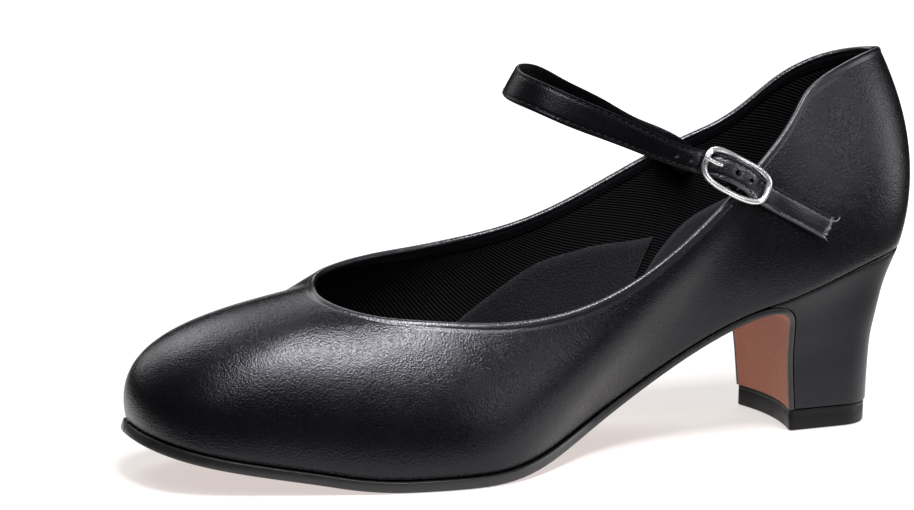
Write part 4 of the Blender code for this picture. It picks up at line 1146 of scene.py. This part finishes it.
class Strap:
    """The strap's middle line in small steps, with its directions and width."""

    def __init__(self, survey, buckle):
        knots, facing = strap_line(survey, buckle)
        lengths = lengths_along(knots)
        self.bar_at = lengths[SEWN_KNOTS + len(STRAP_ROWS) + len(BUCKLED_ROWS) // 2]
        self.at = np.arange(0, lengths[-1], STRAP_STEP)
        self.line = open_spline(lengths, knots, self.at)
        face = unit(open_spline(lengths, facing, self.at))
        taper = smooth_step((self.at - (self.bar_at - TAPER_FROM)) / TAPER_LENGTH)
        self.widths = STRAP_WIDTH + (STRAP_END_WIDTH - STRAP_WIDTH) * taper
        self.run = unit(np.gradient(self.line, axis=0))
        self.across = unit(np.cross(face, self.run))
        self.face = unit(np.cross(self.run, self.across))

    def read(self, at):
        """Point, heading, across, face and width at a distance along the line."""
        rows = np.column_stack([self.line, self.run, self.across, self.face, self.widths])
        values = read_at(at, self.at, rows)
        return values[:3], unit(values[3:6]), values[6:9], values[9:12], values[12]

    def hole(self, number):
        """A hole's place and the direction straight through the strap there."""
        middle, heading, _, facing, _ = self.read(
            self.bar_at - PRONG_HOLE_AT + number * HOLE_PITCH)
        return middle, unit(facing - heading * (facing @ heading))


def build_strap(strap):
    profile = [(side, *row) for side in (1, -1) for row in STRAP_SECTION[::side]]
    sections = np.stack([
        strap.line + strap.across * (side * (strap.widths / 2 - inset * MM))[:, None]
        + strap.face * height * STRAP_HALF for side, inset, height in profile], 1)
    ragged = np.random.default_rng(11).normal(0, 0.12 * MM, len(profile))
    sections[-1] += strap.run[-1] * ragged[:, None]
    body = swept("strap_leather", sections, STRAP_LEATHER, "strap", replaced=["strap"])
    for number in range(-HOLES_BEFORE_PRONG, HOLES_AFTER_PRONG + 1):
        middle, axis = strap.hole(number)
        side = unit(np.cross(axis, (0.2, 0.3, 0.9)))
        other = np.cross(axis, side)
        points = [middle + axis * end * STRAP_THICKNESS
                  + (side * math.cos(a) + other * math.sin(a)) * HOLE_DIAMETER / 2
                  for end in (-1, 1) for a in angles(HOLE_SIDES)]
        cut(body, points, sweep_faces(2, HOLE_SIDES))
    build_strap_end(strap)
    stitches = []
    start, stop = STRAP_SEWN + STITCH_ENDS[0], strap.at[-1] - STITCH_ENDS[1]
    for side in (1, -1):
        for middle in np.arange(start, stop, STITCH_PITCH):
            stitch = []
            for reach in (-0.5, -0.25, 0.0, 0.25, 0.5):
                point, _, across, face, width = strap.read(middle + reach * STITCH_LENGTH)
                lift = 0.80 * STRAP_HALF + STITCH_RADIUS * (0.6 - 6 * reach**2)
                stitch.append(point + unit(across) * side * (width / 2 - STITCH_INSET)
                              + unit(face) * lift)
            stitches.append(stitch)
    build_threads("strap_stitching", stitches, STITCH_RADIUS, THREAD)


def build_strap_end(strap):
    """Fibres on the strap's cut end, and the loose thread at its upper corner."""
    rng = np.random.default_rng(5)
    end, heading, across, face = (a[-1] for a in (strap.line, strap.run, strap.across, strap.face))
    width = strap.widths[-1]
    fibres = []
    for _ in range(END_FIBRES):
        reach = rng.uniform(-0.5, 0.5) * (width - 0.3 * MM)
        height = rng.uniform(-0.2, 1.04) * STRAP_HALF
        start = end + across * reach + face * height - heading * rng.uniform(0.2, 0.9) * MM
        lean = across * rng.normal(0, 0.30) + face * rng.normal(0, 0.12)
        length = rng.uniform(0.9, 1.7) * MM
        fibres.append([start, start + (heading + 0.4 * lean) * length * 0.5,
                       start + (heading + lean) * length])
    build_threads("strap_end_fibres", fibres, 0.10 * MM, RAW, sides=4)
    up = across if across[2] > 0 else -across
    corner = end + up * (width / 2 - 0.6 * MM)
    # Along the strap, off its face and up, in mm
    spur = np.array([corner + (heading * a + face * b + up * c) * MM for a, b, c in (
        (-0.6, 0, 0), (0.9, 0, 0), (2.0, 0.5, -0.2), (2.7, 0.6, 0.8), (2.9, 0.5, 1.7))])
    smooth = open_spline(np.arange(len(spur)), spur, np.linspace(0, len(spur) - 1, 16))
    build_threads("strap_end_thread", [smooth], 0.13 * MM, RAW)


# The frame's wire, flat on the back: share of its radius out from the frame's middle, and up
FRAME_SECTION = ((1.0, -0.35), (1.0, 0.05), (0.86, 0.45), (0.58, 0.80), (0.22, 0.98),
                 (-0.05, 0.94), (-0.18, 0.84), (-0.30, 0.94), (-0.62, 0.80), (-0.90, 0.42),
                 (-1.0, 0.0), (-0.98, -0.40), (-0.80, -0.72), (-0.4, -0.86), (0.4, -0.86),
                 (0.82, -0.72))
FRAME_STEPS = 200


def frame_line(buckle):
    turn = angles(720)
    run, across = (np.copysign(abs(wave)**(2 / BUCKLE_SQUARENESS), wave)
                   for wave in (np.cos(turn), np.sin(turn)))
    return even([buckle.at(a * buckle.half, RAIL_RISE + BUCKLE_ARCH * a**2, b * BUCKLE_WIDTH / 2)
                 for a, b in zip(run, across)], FRAME_STEPS)


def build_buckle(buckle, hole):
    line = frame_line(buckle)
    run = unit(np.roll(line, -1, 0) - np.roll(line, 1, 0))
    outward = unit(np.cross(run, buckle.out))
    if ((line - buckle.middle) * outward).sum() < 0:
        outward = -outward
    upward = unit(np.cross(outward, run))
    upward *= np.sign(upward @ buckle.out)[:, None]
    sections = [[p + FRAME_WIRE / 2 * (a * o + b * u) for a, b in FRAME_SECTION]
                for p, o, u in zip(line, outward, upward)]
    swept("buckle_wire_frame", sections, METAL, "buckle", closed=True, replaced=["buckle_frame"],
          sharp=50)
    swept("buckle_middle_bar", tube(middle_bar(buckle, 40), BAR_WIRE / 2, 20), METAL, "buckle")
    middle, axis = hole
    eye = BAR_WIRE / 2 + GAP + PRONG_WIRE / 2
    rest_out = RAIL_RISE + BUCKLE_ARCH + FRAME_WIRE / 2 + GAP + PRONG_WIRE / 2
    through = STRAP_THICKNESS / 2 + GAP + PRONG_WIRE / 2
    turns = [buckle.at(eye * math.cos(a), eye * math.sin(a))
             for a in np.linspace(math.radians(140), math.radians(-150), 25)]
    start = turns[-1]
    below = middle - axis * (through + 1.4 * PRONG_BOW)
    knots = np.array([start, start + (below - start) * 0.55 - PRONG_BOW * buckle.out, below, middle,
                      middle + axis * (through + 0.8 * PRONG_BOW),
                      buckle.at(-0.80 * buckle.half, rest_out - PRONG_BOW),
                      buckle.at(-buckle.half, rest_out + 0.2 * PRONG_BOW),
                      buckle.at(-1.13 * buckle.half, rest_out - 1.2 * PRONG_BOW)])
    lengths = lengths_along(knots)
    wire = open_spline(lengths, knots, np.linspace(0, lengths[-1], 60))
    swept("buckle_prong_wire", tube(np.vstack([turns[:-1], wire]), PRONG_WIRE / 2, 16), METAL,
          "buckle", replaced=["buckle_prong"])


# Where the tab is sewn through the quarter: (along the buckle's run, across it) in mm
TAB_STITCH_LINES = (((6.0, -3.6), (11.8, -2.2)), ((6.4, -0.4), (11.4, -1.9)))
TAB_STITCHES = 4               # to each line


def build_tab_stitches(survey, buckle):
    lines = []
    for start, end in np.array(TAB_STITCH_LINES) * MM:
        for k in range(TAB_STITCHES):
            at = [start + (end - start) * t
                  for t in np.linspace(k / TAB_STITCHES + 0.02, (k + 1) / TAB_STITCHES - 0.03, 4)]
            lines.append([survey.seat(buckle.at(run, 0, across), 1, 0.05 * MM)[0]
                          for run, across in at])
    build_threads("tab_stitching", lines, 0.16 * MM, THREAD)


# ---------------------------------------------------------------- camera, floor and light

# The camera: where it stands, and its right and up directions
CAMERA_AT = Vector((0.57764, -0.35884, 0.16487))
CAMERA_AXES = ((0.3774, 0.9260, 0.0057), (-0.1575, 0.0582, 0.9858))
CAMERA_LENS = 84.286


def build_camera():
    data = bpy.data.cameras.new("photo_camera")
    data.lens = CAMERA_LENS
    data.sensor_width = 36
    data.clip_start = 0.01
    data.dof.use_dof = False
    camera = place("photo_camera", data)
    right, up = (Vector(axis).normalized() for axis in CAMERA_AXES)
    up = (up - right * up.dot(right)).normalized()
    turned = Matrix((right, up, right.cross(up))).transposed()
    camera.matrix_world = Matrix.Translation(CAMERA_AT) @ turned.to_4x4()
    bpy.context.scene.camera = camera


# Towards the camera along the floor, and where, in that direction, the floor's glowing white ends
# and its painted shade begins, in metres
FRONT = (0.9257, -0.3783)
FLOOR_FADE = (0.118, 0.15)
SIDE_SLOPE = 0.2135            # how the picture's sides spread with distance
HEEL_FADE = (0.07, 0.14)
TOE_FADE = (-0.33, -0.275)
# Painted light: over this span of distance the floor's glow weakens from far back to near the shoe,
# between the two strengths below
PAINTED_GLOW_RISE = (-0.60, -0.10)
FLOOR_PAINTED_GLOW = (1.10, 0.58)
FLOOR_COLOR = (0.34, 0.335, 0.33)
# Painted shade: the floor's near-black colour beside and before the shoe
PAINTED_SHADE_COLOR = (0.03, 0.03, 0.03)
# Painted light: the warm tint of the floor's glow
PAINTED_GLOW_COLOR = (1.0, 0.96, 0.94)
FLOOR_REACH = 30.0
FLOOR_DROP = 0.2 * MM          # under the shoe's lowest point


def build_floor():
    """A white sweep that runs far back, its painted glow rising with distance, and falls away into
    painted shade, near-black and without glow, beside and before the shoe.
    """
    n = Nodes("studio_floor", FLOOR_COLOR, 0.6, Specular_IOR_Level=0.1)
    at = n.split()
    forward = n.plus(n.times(at["X"], FRONT[0]), at["Y"], FRONT[1])
    aside = n.plus(n.times(at["X"], -FRONT[1]), at["Y"], FRONT[0])
    widening = n.times(forward, SIDE_SLOPE)
    painted_glow_share = n.ramp(forward, *FLOOR_FADE, 1.0, 0.0)
    painted_glow_share = n.times(painted_glow_share, n.ramp(n.math("ADD", aside, widening), *HEEL_FADE, 1.0, 0.0))
    painted_glow_share = n.times(painted_glow_share, n.ramp(n.math("SUBTRACT", aside, widening), *TOE_FADE))
    # Painted shade: beside and before the shoe the floor takes a near-black colour and no glow, so
    # the leather reflects dark there
    n.set("Base Color", n.mix(painted_glow_share, PAINTED_SHADE_COLOR, FLOOR_COLOR))
    # Painted light: the floor glows with a warm tint, weaker near the shoe and stronger far back
    n.shader.inputs["Emission Color"].default_value = (*PAINTED_GLOW_COLOR, 1)
    n.set("Emission Strength", n.times(painted_glow_share, n.ramp(forward, *PAINTED_GLOW_RISE, *FLOOR_PAINTED_GLOW)))
    corners = [(x * FLOOR_REACH, y * FLOOR_REACH, -FLOOR_DROP)
               for x, y in ((-1, -1), (1, -1), (1, 1), (-1, 1))]
    mesh = new_mesh("studio_floor", corners, [(0, 1, 2, 3)])
    mesh.materials.append(n.material)
    floor = place("studio_floor", mesh)


# Softboxes: name, place, what they point at, width, height, watts, colour
COOL, WHITE = (0.98, 0.98, 1.0), (1, 1, 1)
LIGHTS = (
    ("key_box", (0.56, -0.09, 1.43), (0.0, -0.09, 0.04), 0.50, 0.50, 38.0, COOL),
    ("front_box", (0.91, -0.51, 1.16), (0.0, -0.09, 0.04), 0.50, 0.50, 5.0, COOL),
    ("side_box", (1.12, 0.74, 0.60), (0.0, -0.03, 0.06), 0.40, 0.40, 3.2, COOL),
    ("toe_rim", (-1.11, -0.81, 0.74), (0.0, -0.12, 0.04), 0.60, 0.80, 4.0, WHITE),
    ("heel_rim", (0.38, 1.35, 0.30), (0.0, -0.05, 0.06), 0.60, 0.80, 5.5, WHITE),
    ("rim_box", (-0.98, 0.48, 1.02), (0.0, -0.09, 0.06), 0.80, 0.50, 5.0, WHITE),
    ("back_box", (-0.91, -0.51, 1.22), (0.0, -0.09, 0.04), 0.80, 0.60, 8.5, WHITE),
)
SKY_COLOR = (0.02, 0.02, 0.021)


def build_light():
    for name, stand, aim, width, height, watts, color in LIGHTS:
        data = bpy.data.lights.new(name, "AREA")
        data.shape = "RECTANGLE"
        data.size, data.size_y = width, height
        data.energy, data.color = watts, color
        lamp = place(name, data)
        lamp.location = stand
        lamp.rotation_mode = "QUATERNION"
        lamp.rotation_quaternion = (Vector(stand) - Vector(aim)).to_track_quat("Z", "Y")
    world = bpy.data.worlds.new("studio")
    world.use_nodes = True
    sky = world.node_tree.nodes["Background"]
    sky.inputs["Color"].default_value = (*SKY_COLOR, 1)
    sky.inputs["Strength"].default_value = 1.0
    bpy.context.scene.world = world


def main():
    bpy.context.scene.view_settings.view_transform = "Standard"
    build_camera()
    build_floor()
    build_light()
    build_upper()
    wall = Wall()
    build_wall_pad("arch_pad", wall, ARCH_PAD_ROWS, 1.1 * MM, KNIT, lean=-0.25)
    build_wall_pad("heel_sock_pad", wall, HEEL_PAD_ROWS, 0.9 * MM, SUEDE)
    build_footbed()
    build_outsole()
    build_heel()
    build_top_piece()
    survey = Survey()
    buckle = Buckle(survey)
    strap = Strap(survey, buckle)
    build_strap(strap)
    build_buckle(buckle, strap.hole(0))
    build_tab_stitches(survey, buckle)
    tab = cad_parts["buckle_tab"]
    tab.data.materials.clear()
    tab.data.materials.append(ELASTIC)


main()
